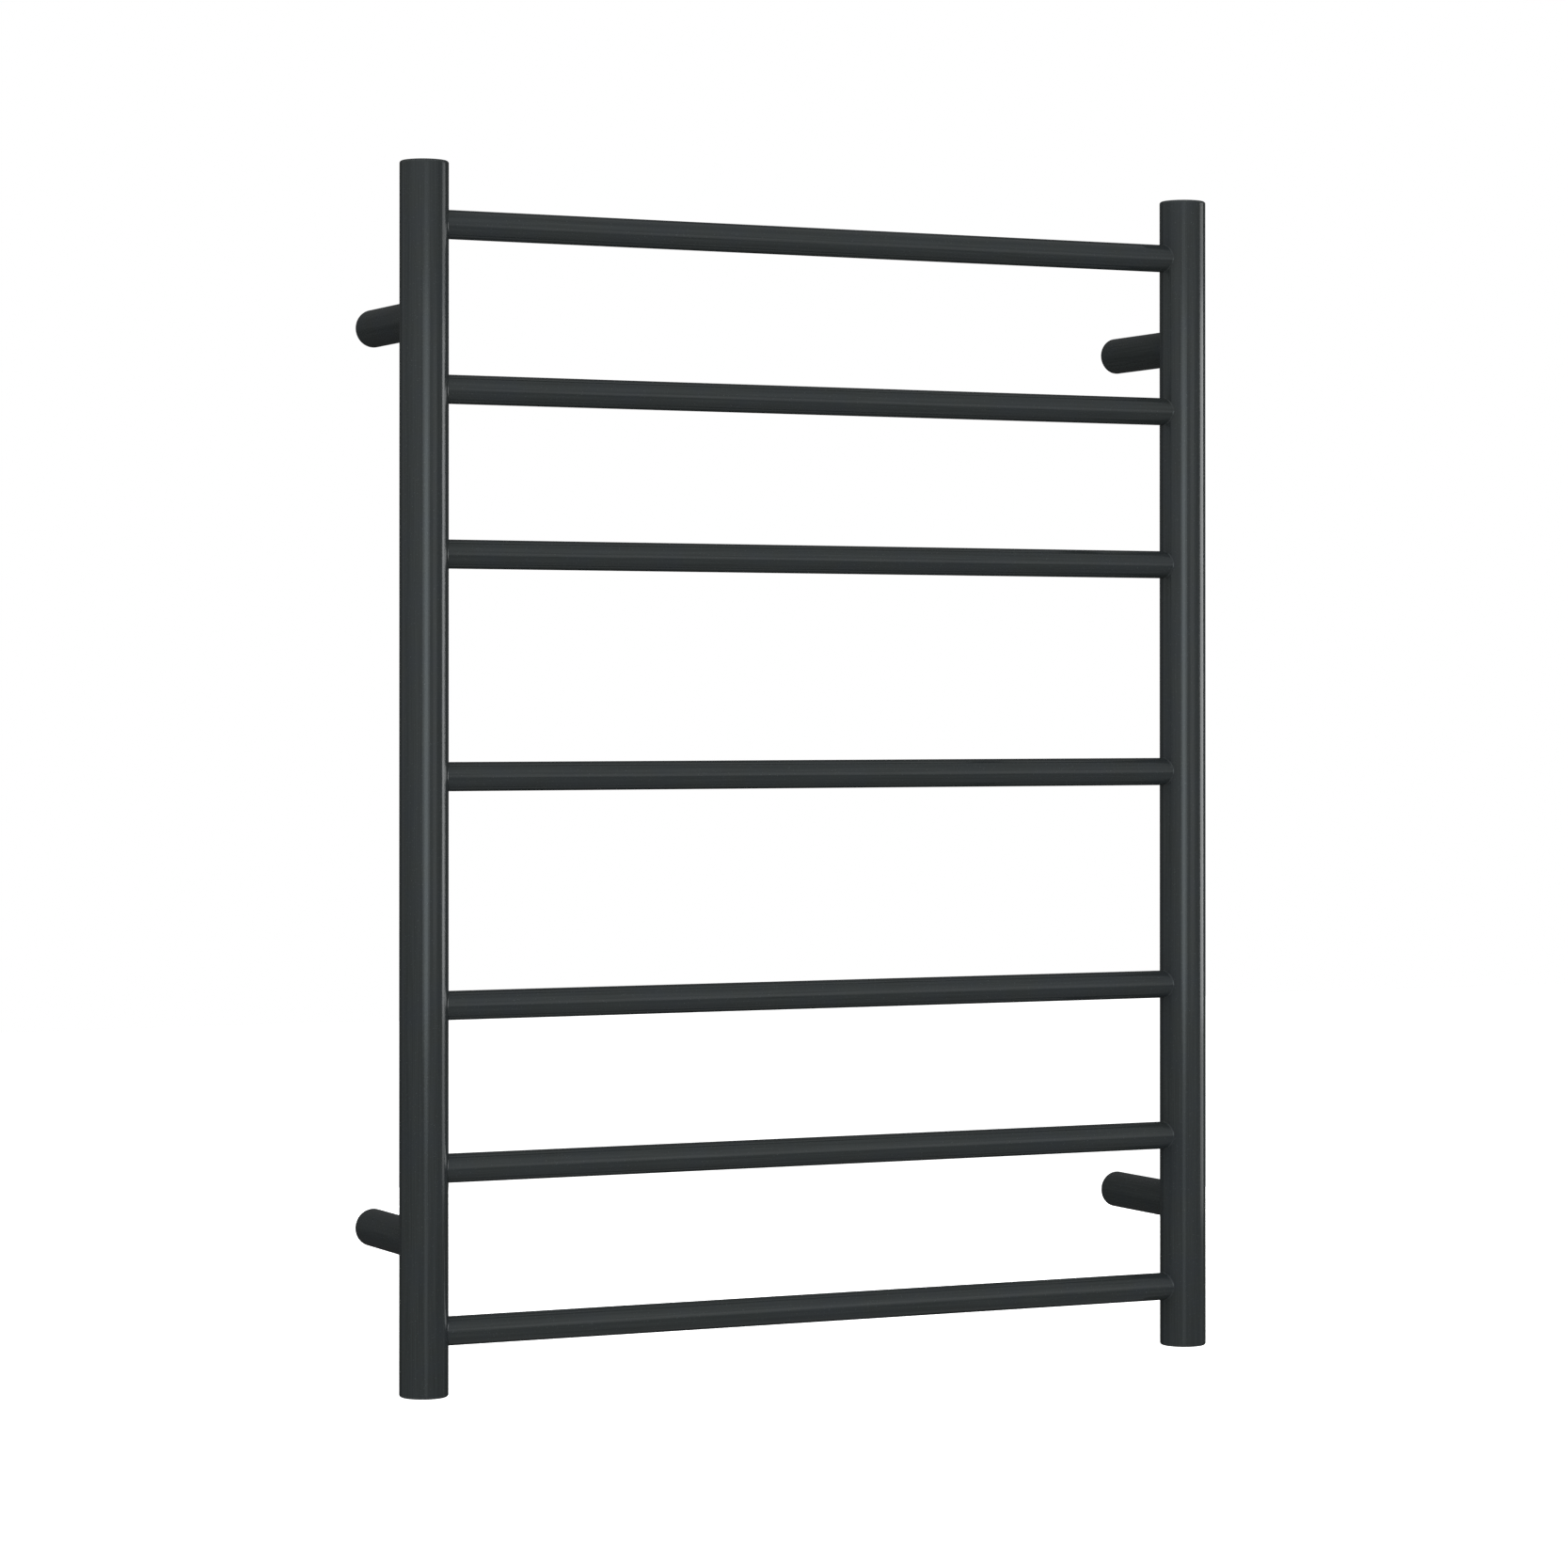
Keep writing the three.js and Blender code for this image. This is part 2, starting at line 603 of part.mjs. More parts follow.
// The earth point.
const earthPoint = new THREE.Group();
earthPoint.position.set(uprightX, tubeY, bottomZ + CAP_THICKNESS + SEAM);
rack.add(earthPoint);
const ringZ = EARTH_FOOT.thickness + SEAM;
const nutZ = ringZ + EARTH_RING.thickness + SEAM;
add(earthPoint, "earth_stud", along("Z", earthStud()), FINISH.zinc);
add(earthPoint, "earth_ring_terminal", ringTerminal(), FINISH.tinnedCopper, [0, 0, ringZ]);
add(earthPoint, "earth_nut", earthNut(), FINISH.zinc, [0, 0, nutZ]);

export default rack;
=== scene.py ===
"""The looks of an electric towel warmer rack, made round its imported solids.

The rack is a welded ladder of round steel tubes on four wall posts, powder coated as one piece, with a
heating cable inside. Lengths are in metres and places are in the row frame: X runs along the bars, Y
into the wall and Z up, with the origin on the wall at half the rack's height.
"""

import json
import logging
import math
from collections.abc import Iterable, Mapping, Sequence
from dataclasses import dataclass, field
from enum import Enum
from functools import partial

import bmesh
import bpy
from mathutils import Euler, Matrix, Vector

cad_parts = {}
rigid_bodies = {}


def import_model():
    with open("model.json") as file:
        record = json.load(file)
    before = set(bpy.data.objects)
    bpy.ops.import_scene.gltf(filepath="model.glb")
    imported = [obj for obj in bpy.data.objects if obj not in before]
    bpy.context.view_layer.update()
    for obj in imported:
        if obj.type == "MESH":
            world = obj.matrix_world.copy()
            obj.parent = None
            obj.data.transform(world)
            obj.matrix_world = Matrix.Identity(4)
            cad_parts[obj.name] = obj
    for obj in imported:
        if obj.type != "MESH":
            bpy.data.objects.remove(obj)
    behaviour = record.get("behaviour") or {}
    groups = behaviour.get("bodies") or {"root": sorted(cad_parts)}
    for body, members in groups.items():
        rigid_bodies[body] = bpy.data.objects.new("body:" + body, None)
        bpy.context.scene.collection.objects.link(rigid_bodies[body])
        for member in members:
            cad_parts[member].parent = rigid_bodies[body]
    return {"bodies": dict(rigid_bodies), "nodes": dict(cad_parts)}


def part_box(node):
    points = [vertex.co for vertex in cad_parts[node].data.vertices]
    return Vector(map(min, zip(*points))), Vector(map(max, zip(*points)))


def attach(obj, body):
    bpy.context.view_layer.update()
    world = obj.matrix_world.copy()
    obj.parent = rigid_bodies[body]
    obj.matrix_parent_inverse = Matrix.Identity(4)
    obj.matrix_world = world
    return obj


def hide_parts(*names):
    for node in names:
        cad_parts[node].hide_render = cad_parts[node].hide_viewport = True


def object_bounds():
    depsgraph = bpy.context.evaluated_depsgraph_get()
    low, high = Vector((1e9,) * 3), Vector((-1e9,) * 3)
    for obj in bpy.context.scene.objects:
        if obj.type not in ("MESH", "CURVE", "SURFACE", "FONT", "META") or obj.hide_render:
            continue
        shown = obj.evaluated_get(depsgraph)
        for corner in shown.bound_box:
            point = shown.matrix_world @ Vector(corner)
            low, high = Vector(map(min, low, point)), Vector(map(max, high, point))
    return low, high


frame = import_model()
CAD_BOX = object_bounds()

LOG = logging.getLogger("towel_warmer_rack")
MM = 0.001
BODY = next(iter(frame["bodies"]))
EDGE_ATTRIBUTE = "rounded_edge"
SHARP_ANGLE = math.radians(35)
SAME_POINT = 0.01 * MM
# Turns that point a hole, which is made along Z, another way.
ALONG_X = (0, math.pi / 2, 0)
AGAINST_Y = (math.pi / 2, 0, 0)


# ---- Nodes ----


def add_node(
    tree: bpy.types.NodeTree,
    kind: str,
    settings: Mapping[str, object] | None = None,
    inputs: Mapping[str | int, object] | None = None,
) -> bpy.types.Node:
    """Adds a node to a tree, with its settings and links.

    Args:
        tree: The shader or geometry tree that gets the node.
        kind: The node's type name.
        settings: The node's own properties.
        inputs: Values for its input sockets, by name or index. An output socket is linked, and so is the
            first output in use of a node.

    Returns:
        The new node.
    """
    node = tree.nodes.new(kind)
    for name, value in (settings or {}).items():
        setattr(node, name, value)
    for key, value in (inputs or {}).items():
        if isinstance(value, bpy.types.Node):
            value = next(socket for socket in value.outputs if socket.enabled)
        if isinstance(value, bpy.types.NodeSocket):
            tree.links.new(value, node.inputs[key])
        else:
            node.inputs[key].default_value = value
    return node


# ---- Finishes ----


def linear(hex_colour: str) -> tuple[float, float, float, float]:
    """Turns an sRGB colour into linear light.

    Args:
        hex_colour: The colour as #rrggbb.

    Returns:
        Red, green, blue and an alpha of 1.
    """
    channels = [int(hex_colour[i : i + 2], 16) / 255 for i in (1, 3, 5)]
    lit = [c / 12.92 if c <= 0.04045 else ((c + 0.055) / 1.055) ** 2.4 for c in channels]
    return (*lit, 1.0)


def cells(size_mm: float) -> float:
    """Gives the texture scale, in cells a metre, of a pattern whose cells are size_mm wide."""
    return 1 / (size_mm * MM)


class Grain(Enum):
    """Which axis of the row frame a drawn or brushed surface runs along."""

    X = 0
    Y = 1
    Z = 2

    def stretch(self, across_mm: float, along_mm: float) -> tuple[float, float, float]:
        """Gives a mapping scale for streaks.

        Args:
            across_mm: Width of a streak.
            along_mm: Length of a streak.

        Returns:
            Cells a metre along X, Y and Z.
        """
        return tuple(cells(along_mm if axis == self.value else across_mm) for axis in range(3))


@dataclass(frozen=True)
class Finish:
    """What a surface is made of and how it was made. Each kind builds its own nodes."""

    name: str
    slot: str

    def material(self) -> bpy.types.Material:
        """Gives this finish's material, building it the first time.

        Returns:
            The material, with one principled shader.
        """
        if self.name in bpy.data.materials:
            return bpy.data.materials[self.name]
        material = bpy.data.materials.new(self.name)
        material.use_nodes = True
        tree = material.node_tree
        tree.nodes.clear()
        place = add_node(tree, "ShaderNodeTexCoord").outputs["Object"]
        shader = add_node(tree, "ShaderNodeBsdfPrincipled", inputs=self.surface(tree, place))
        add_node(tree, "ShaderNodeOutputMaterial", inputs={"Surface": shader})
        return material

    def surface(self, tree: bpy.types.NodeTree, place: bpy.types.NodeSocket) -> dict[str, object]:
        """Adds the nodes that drive the shader.

        Args:
            tree: The material's tree.
            place: The point being shaded, in metres in the row frame.

        Returns:
            What goes into each driven socket of the shader.
        """
        raise NotImplementedError


@dataclass(frozen=True)
class PowderCoat(Finish):
    """Charcoal metallic powder coat, satin, over steel tube brushed along its length.

    The brushing shows through as faint lengthwise streaks, the cured powder leaves a fine orange peel,
    and aluminium flakes give a sparse sparkle. Convex rounded edges are painted pale: partly the coat
    pulling thin there, and partly a painted highlight.
    """

    grain: Grain = Grain.Z
    dark: str = "#3b3f3f"
    light: str = "#464a4a"
    cool: str = "#3f4449"
    # Pale colour of convex rounded edges: partly a thin coat, partly a painted highlight.
    edge: str = "#565a5a"
    flake: str = "#6c7172"
    metallic: float = 0.15
    roughness: tuple[float, float] = (0.09, 0.15)
    streak_mm: tuple[float, float] = (0.9, 60.0)
    peel_mm: float = 1.8
    mottle_mm: float = 22.0
    # Real flakes are about 0.05 mm wide. They are drawn ten times coarser, or they would not show.
    flake_mm: float = 0.5
    relief_mm: float = 0.03

    def surface(self, tree: bpy.types.NodeTree, place: bpy.types.NodeSocket) -> dict[str, object]:
        """Adds streaks, mottling, flakes, orange peel, and pale edges that are partly a painted highlight.

        Args:
            tree: The material's tree.
            place: The point being shaded, in metres in the row frame.

        Returns:
            What goes into each driven socket of the shader.
        """
        add = partial(add_node, tree)
        stretched = add(
            "ShaderNodeMapping", inputs={"Vector": place, "Scale": self.grain.stretch(*self.streak_mm)}
        )
        streak = add(
            "ShaderNodeTexNoise", inputs={"Vector": stretched, "Scale": 1.0, "Detail": 3.0, "Roughness": 0.6}
        )
        mottle = add(
            "ShaderNodeTexNoise", inputs={"Vector": place, "Scale": cells(self.mottle_mm), "Detail": 2.0}
        )
        peel = add(
            "ShaderNodeTexNoise", inputs={"Vector": place, "Scale": cells(self.peel_mm), "Detail": 1.0}
        )
        flakes = add("ShaderNodeTexVoronoi", inputs={"Vector": place, "Scale": cells(self.flake_mm)})
        # How much of each layer shows: the spread of a pattern's values is set by From, its most by To Max.
        streaked = add("ShaderNodeMapRange", inputs={"Value": streak, "From Min": 0.32, "From Max": 0.68})
        cooled = add(
            "ShaderNodeMapRange", inputs={"Value": mottle, "From Min": 0.4, "From Max": 0.68, "To Max": 0.6}
        )
        sparse = add(
            "ShaderNodeMapRange",
            inputs={"Value": flakes.outputs["Color"], "From Min": 0.86, "From Max": 0.98, "To Max": 0.55},
        )
        # Pale convex rounded edges, where streaked: partly a thin coat, partly a painted highlight.
        rim = add("ShaderNodeAttribute", {"attribute_name": EDGE_ATTRIBUTE}).outputs["Fac"]
        thin_coat_and_highlight = add("ShaderNodeMath", {"operation": "MULTIPLY"}, {0: rim, 1: streaked})
        colour = linear(self.dark)
        shares, layers = (streaked, cooled, sparse, thin_coat_and_highlight), (self.light, self.cool, self.flake, self.edge)
        for share, layer in zip(shares, layers):
            colour = add("ShaderNodeMix", {"data_type": "RGBA"}, {0: share, 6: colour, 7: linear(layer)})
        smooth, rough = self.roughness
        gloss = add(
            "ShaderNodeMapRange",
            inputs={"Value": streak, "From Min": 0.3, "From Max": 0.7, "To Min": smooth, "To Max": rough},
        )
        relief = add("ShaderNodeMix", {"data_type": "FLOAT"}, {0: 0.35, 2: peel, 3: streak})
        bump = add(
            "ShaderNodeBump", inputs={"Strength": 0.5, "Distance": self.relief_mm * MM, "Height": relief}
        )
        look = {"Base Color": colour, "Roughness": gloss, "Normal": bump}
        return {**look, "Metallic": self.metallic, "IOR": 1.5}


@dataclass(frozen=True)
class WorkedMetal(Finish):
    """Bare or plated metal with fine tool marks in one direction, as turning or rolling leaves it."""

    colour: str = "#a4a9ab"
    tint: str = "#8d9296"
    grain: Grain = Grain.Y
    mark_mm: tuple[float, float] = (0.25, 6.0)
    roughness: tuple[float, float] = (0.24, 0.42)
    cloud_mm: float = 4.0
    relief_mm: float = 0.02

    def surface(self, tree: bpy.types.NodeTree, place: bpy.types.NodeSocket) -> dict[str, object]:
        """Adds tool marks and a cloudy tint.

        Args:
            tree: The material's tree.
            place: The point being shaded, in metres in the row frame.

        Returns:
            What goes into each driven socket of the shader.
        """
        add = partial(add_node, tree)
        stretched = add(
            "ShaderNodeMapping", inputs={"Vector": place, "Scale": self.grain.stretch(*self.mark_mm)}
        )
        marks = add("ShaderNodeTexNoise", inputs={"Vector": stretched, "Scale": 1.0, "Detail": 3.0})
        cloud = add(
            "ShaderNodeTexNoise", inputs={"Vector": place, "Scale": cells(self.cloud_mm), "Detail": 2.0}
        )
        colour = add(
            "ShaderNodeMix", {"data_type": "RGBA"}, {0: cloud, 6: linear(self.colour), 7: linear(self.tint)}
        )
        smooth, rough = self.roughness
        gloss = add("ShaderNodeMapRange", inputs={"Value": marks, "To Min": smooth, "To Max": rough})
        bump = add(
            "ShaderNodeBump", inputs={"Strength": 0.6, "Distance": self.relief_mm * MM, "Height": marks}
        )
        return {"Base Color": colour, "Roughness": gloss, "Normal": bump, "Metallic": 1.0}


@dataclass(frozen=True)
class MouldedPolymer(Finish):
    """Rubber, silicone or plastic with a fine eroded grain from its mould or die, and a little dust."""

    colour: str = "#1b1c1e"
    dust: str = "#2b2c2e"
    grain_mm: float = 0.35
    roughness: tuple[float, float] = (0.5, 0.72)
    ior: float = 1.46
    dust_mm: float = 7.0
    relief_mm: float = 0.03

    def surface(self, tree: bpy.types.NodeTree, place: bpy.types.NodeSocket) -> dict[str, object]:
        """Adds mould grain and dust.

        Args:
            tree: The material's tree.
            place: The point being shaded, in metres in the row frame.

        Returns:
            What goes into each driven socket of the shader.
        """
        add = partial(add_node, tree)
        grain = add("ShaderNodeTexVoronoi", inputs={"Vector": place, "Scale": cells(self.grain_mm)})
        dusty = add(
            "ShaderNodeTexNoise", inputs={"Vector": place, "Scale": cells(self.dust_mm), "Detail": 4.0}
        )
        amount = add("ShaderNodeMapRange", inputs={"Value": dusty, "From Min": 0.45, "From Max": 0.8})
        colour = add(
            "ShaderNodeMix", {"data_type": "RGBA"}, {0: amount, 6: linear(self.colour), 7: linear(self.dust)}
        )
        low, high = self.roughness
        gloss = add("ShaderNodeMapRange", inputs={"Value": dusty, "To Min": low, "To Max": high})
        bump = add(
            "ShaderNodeBump", inputs={"Strength": 0.4, "Distance": self.relief_mm * MM, "Height": grain}
        )
        return {"Base Color": colour, "Roughness": gloss, "Normal": bump, "IOR": self.ior}


# Near-black grey with a cool cast, brushed along the tube that it covers.
COAT = {
    grain: PowderCoat(f"charcoal_powder_coat_{grain.name.lower()}", "coated_steel", grain=grain)
    for grain in Grain
}
# Bright bluish grey, with tool marks out of the wall.
ZINC = WorkedMetal("zinc_plated_turned_steel", "zinc_plated_steel")
# Near-black metal with a dull shine.
BLACK_OXIDE = WorkedMetal(
    "black_oxide_alloy_steel", "black_screw_steel", "#3a3b3d", "#2a2a2c", Grain.Z, roughness=(0.34, 0.5)
)
# Plain steel grey, rolled along its length.
SPRING_STEEL = WorkedMetal("rolled_spring_steel", "spring_steel", "#8b8f92", "#74777a", Grain.X)
# Pale and a little yellow.
TIN_PLATE = WorkedMetal("tin_plated_brass", "tinned_brass", "#b9b3a4", "#a19b8c", Grain.X)
# Matt black, dusty.
GROMMET_RUBBER = MouldedPolymer("moulded_rubber", "grommet_rubber")
# Black with a soft shine, as it shrinks tight.
SLEEVE_RUBBER = MouldedPolymer(
    "heat_shrunk_polyolefin", "joint_rubber", "#17181a", "#26272a", 0.5, (0.38, 0.55)
)
# Brick red, the usual colour of cable for heat.
SILICONE = MouldedPolymer(
    "extruded_silicone_rubber", "cable_silicone", "#8e3b2e", "#9c5244", 0.6, (0.42, 0.6), 1.41
)
# Ivory, unpainted.
CUTOUT_PLASTIC = MouldedPolymer(
    "moulded_polyamide", "cutout_plastic", "#d8d2c2", "#c4bda9", 0.4, (0.45, 0.6), 1.53
)
# Off-white and rather glossy.
LEAD_INSULATION = MouldedPolymer(
    "extruded_fluoropolymer", "lead_insulation", "#c9c5bd", "#b3aea4", 0.5, (0.3, 0.45), 1.35
)


# ---- Geometry tools ----


class GeometryTool:
    """A Geometry Nodes tree with named inputs, run on a base mesh to make a finished one."""

    def __init__(self, name: str, sockets: Mapping[str, str]) -> None:
        """Starts the tree.

        Args:
            name: The tree's name.
            sockets: Kind of each named input, such as Float, besides the geometry and the material.
        """
        self.tree = bpy.data.node_groups.new(name, "GeometryNodeTree")
        self.add = partial(add_node, self.tree)
        interface = self.tree.interface
        interface.new_socket("Geometry", in_out="OUTPUT", socket_type="NodeSocketGeometry")
        interface.new_socket("Geometry", in_out="INPUT", socket_type="NodeSocketGeometry")
        self.identifiers: dict[str, str] = {}
        for label, kind in {**sockets, "Material": "Material"}.items():
            socket = interface.new_socket(label, in_out="INPUT", socket_type=f"NodeSocket{kind}")
            self.identifiers[label] = socket.identifier
        self.given = self.add("NodeGroupInput").outputs

    def close(self, geometry: bpy.types.Node) -> None:
        """Ends the tree: smooth shading, no instances left, and one material.

        Args:
            geometry: The node that gives the shape.
        """
        smooth = self.add("GeometryNodeSetShadeSmooth", inputs={"Geometry": geometry})
        real = self.add("GeometryNodeRealizeInstances", inputs={"Geometry": smooth})
        material = self.given["Material"]
        coated = self.add("GeometryNodeSetMaterial", inputs={"Geometry": real, "Material": material})
        self.add("NodeGroupOutput", inputs={"Geometry": coated})

    def make(self, base: bpy.types.Mesh, finish: Finish, **values: object) -> bpy.types.Mesh:
        """Runs the tree.

        Args:
            base: The mesh that the tree starts from.
            finish: The finish of the result.
            values: A value for each named input, with its spaces as underscores and in lower case.

        Returns:
            The result as a plain mesh.
        """
        carrier = bpy.data.objects.new(base.name, base)
        bpy.context.scene.collection.objects.link(carrier)
        modifier = carrier.modifiers.new(self.tree.name, "NODES")
        modifier.node_group = self.tree
        modifier[self.identifiers["Material"]] = finish.material()
        for key, value in values.items():
            modifier[self.identifiers[key.replace("_", " ").title()]] = value
        evaluated = carrier.evaluated_get(bpy.context.evaluated_depsgraph_get())
        mesh = bpy.data.meshes.new_from_object(evaluated)
        carrier.modifiers.remove(modifier)
        bpy.data.objects.remove(carrier)
        return mesh


class Lathe(GeometryTool):
    """Turns an outline about Z. Its ends can be coped to lie on a round tube that crosses them along Y."""

    pivot = 1 * MM
    weld_distance = 0.001 * MM

    def __init__(self) -> None:
        """Builds the tree: sweep the outline round a small circle, close the poles, slide the ends."""
        super().__init__("lathe", {"Facets": "Int", "Cope Radius": "Float", "Cope From": "Float"})
        add, given = self.add, self.given
        outline = add("GeometryNodeMeshToCurve", inputs={"Mesh": given["Geometry"]})
        # A sweep takes its section's Y downwards, so the outline goes in upside down.
        section = add(
            "GeometryNodeTransform",
            inputs={"Geometry": outline, "Translation": (-self.pivot, 0, 0), "Scale": (1, -1, 1)},
        )
        circle = add(
            "GeometryNodeCurvePrimitiveCircle", inputs={"Resolution": given["Facets"], "Radius": self.pivot}
        )
        swept = add("GeometryNodeCurveToMesh", inputs={"Curve": circle, "Profile Curve": section})
        whole = add("GeometryNodeMergeByDistance", inputs={"Geometry": swept, "Distance": self.weld_distance})
        self.close(self.coped(whole))

    def coped(self, geometry: bpy.types.Node) -> bpy.types.Node:
        """Adds the nodes that slide the ends on to a crossing tube.

        A point at X from the axis moves away from the middle by R - sqrt(R^2 - X^2), which is how far
        the tube of radius R falls back there. Points nearer the middle than Cope From stay.

        Args:
            geometry: The node that gives the turned body.

        Returns:
            The node that gives the coped body.
        """
        add, radius = self.add, self.given["Cope Radius"]
        point = add("ShaderNodeSeparateXYZ", inputs={0: add("GeometryNodeInputPosition")}).outputs
        squares = [
            add("ShaderNodeMath", {"operation": "MULTIPLY"}, {0: value, 1: value})
            for value in (radius, point["X"])
        ]
        rest = add("ShaderNodeMath", {"operation": "SUBTRACT"}, {0: squares[0], 1: squares[1]})
        positive = add("ShaderNodeMath", {"operation": "MAXIMUM"}, {0: rest, 1: 0.0})
        root = add("ShaderNodeMath", {"operation": "SQRT"}, {0: positive})
        fall = add("ShaderNodeMath", {"operation": "SUBTRACT"}, {0: radius, 1: root})
        side = add("ShaderNodeMath", {"operation": "SIGN"}, {0: point["Z"]})
        slide = add("ShaderNodeMath", {"operation": "MULTIPLY"}, {0: fall, 1: side})
        offset = add("ShaderNodeCombineXYZ", inputs={"Z": slide})
        height = add("ShaderNodeMath", {"operation": "ABSOLUTE"}, {0: point["Z"]})
        limit = self.given["Cope From"]
        near_end = add("ShaderNodeMath", {"operation": "GREATER_THAN"}, {0: height, 1: limit})
        moves = {"Geometry": geometry, "Selection": near_end, "Offset": offset}
        return add("GeometryNodeSetPosition", inputs=moves)

    def turn(
        self,
        name: str,
        outline: "Outline",
        finish: Finish,
        facets: int,
        cope_radius: float = 0.0,
        cope_from: float = 0.0,
    ) -> bpy.types.Mesh:
        """Turns an outline.

        Args:
            name: The mesh's name.
            outline: Half of the section.
            finish: The finish of the result.
            facets: Flats round it.
            cope_radius: Radius of the crossing tube, or 0 to leave the ends as they are.
            cope_from: Points nearer the middle than this are not coped.

        Returns:
            The turned mesh.
        """
        base = outline.mesh(name)
        return self.make(base, finish, facets=facets, cope_radius=cope_radius, cope_from=cope_from)


@dataclass(frozen=True)
class Hole:
    """A hole to cut: round, or hexagonal with six facets, and tapered if it has a far radius of its own."""

    radius: float
    depth: float
    start: Vector
    facets: int
    turn: tuple[float, float, float] = (0, 0, 0)
    far_radius: float | None = None


class Drill(GeometryTool):
    """Cuts holes in a solid mesh."""

    def __init__(self) -> None:
        """Builds the tree: place a cone or cylinder, and take it away from the body."""
        kinds = {"Facets": "Int", "Near Radius": "Float", "Far Radius": "Float", "Depth": "Float"}
        super().__init__("drill", {**kinds, "Place": "Vector", "Turn": "Vector"})
        add, given = self.add, self.given
        shape = {"Vertices": given["Facets"], "Depth": given["Depth"]}
        ends = {"Radius Bottom": given["Near Radius"], "Radius Top": given["Far Radius"]}
        bit = add("GeometryNodeMeshCone", inputs={**shape, **ends})
        turn = add("FunctionNodeEulerToRotation", inputs={0: given["Turn"]})
        placed = add(
            "GeometryNodeTransform", inputs={"Geometry": bit, "Translation": given["Place"], "Rotation": turn}
        )
        settings = {"operation": "DIFFERENCE", "solver": "EXACT"}
        self.close(add("GeometryNodeMeshBoolean", settings, {0: given["Geometry"], 1: placed}))

    def bore(self, mesh: bpy.types.Mesh, finish: Finish, *holes: Hole) -> bpy.types.Mesh:
        """Cuts holes, one after the other.

        Args:
            mesh: The solid.
            finish: Its finish.
            holes: The holes.

        Returns:
            The solid with its holes.
        """
        for hole in holes:
            mesh = self.make(
                mesh,
                finish,
                facets=hole.facets,
                near_radius=hole.radius,
                far_radius=hole.radius if hole.far_radius is None else hole.far_radius,
                depth=hole.depth,
                place=hole.start,
                turn=hole.turn,
            )
        return mesh


class Sheather(GeometryTool):
    """Sweeps a round section along a route of corners, each of which becomes a bend of one radius."""

    def __init__(self) -> None:
        """Builds the tree: round the corners, then sweep a circle along them and close its ends."""
        kinds = {"Facets": "Int", "Radius": "Float", "Bend Radius": "Float", "Bend Steps": "Int"}
        super().__init__("sheather", kinds)
        add, given = self.add, self.given
        route = add("GeometryNodeMeshToCurve", inputs={"Mesh": given["Geometry"]})
        bent = add(
            "GeometryNodeFilletCurve",
            {"mode": "POLY"},
            {"Curve": route, "Count": given["Bend Steps"], "Radius": given["Bend Radius"]},
        )
        shape = {"Resolution": given["Facets"], "Radius": given["Radius"]}
        section = add("GeometryNodeCurvePrimitiveCircle", inputs=shape)
        sweep = {"Curve": bent, "Profile Curve": section, "Fill Caps": True}
        self.close(add("GeometryNodeCurveToMesh", inputs=sweep))


# ---- Shapes ----


class Lie(Enum):
    """How a piece that was made along its own Z lies in the row frame, as an Euler turn in degrees."""

    UP = (0, 0, 0)
    DOWN = (180, 0, 0)
    ALONG_BARS = (90, 0, 90)
    OUT_OF_WALL = (90, 0, 0)

    def matrix(self, place: Vector) -> Matrix:
        """Gives the transform that lays a piece this way with its own origin at place."""
        turn = Euler([math.radians(angle) for angle in self.value])
        return Matrix.Translation(place) @ turn.to_matrix().to_4x4()


class TubeEnd(Enum):
    """How the outside of a tube's end is finished."""

    SQUARE = "cut square, and closed by its cap"
    EASED = "edge rounded off"
    WELDED = "small concave weld bead, dressed smooth"


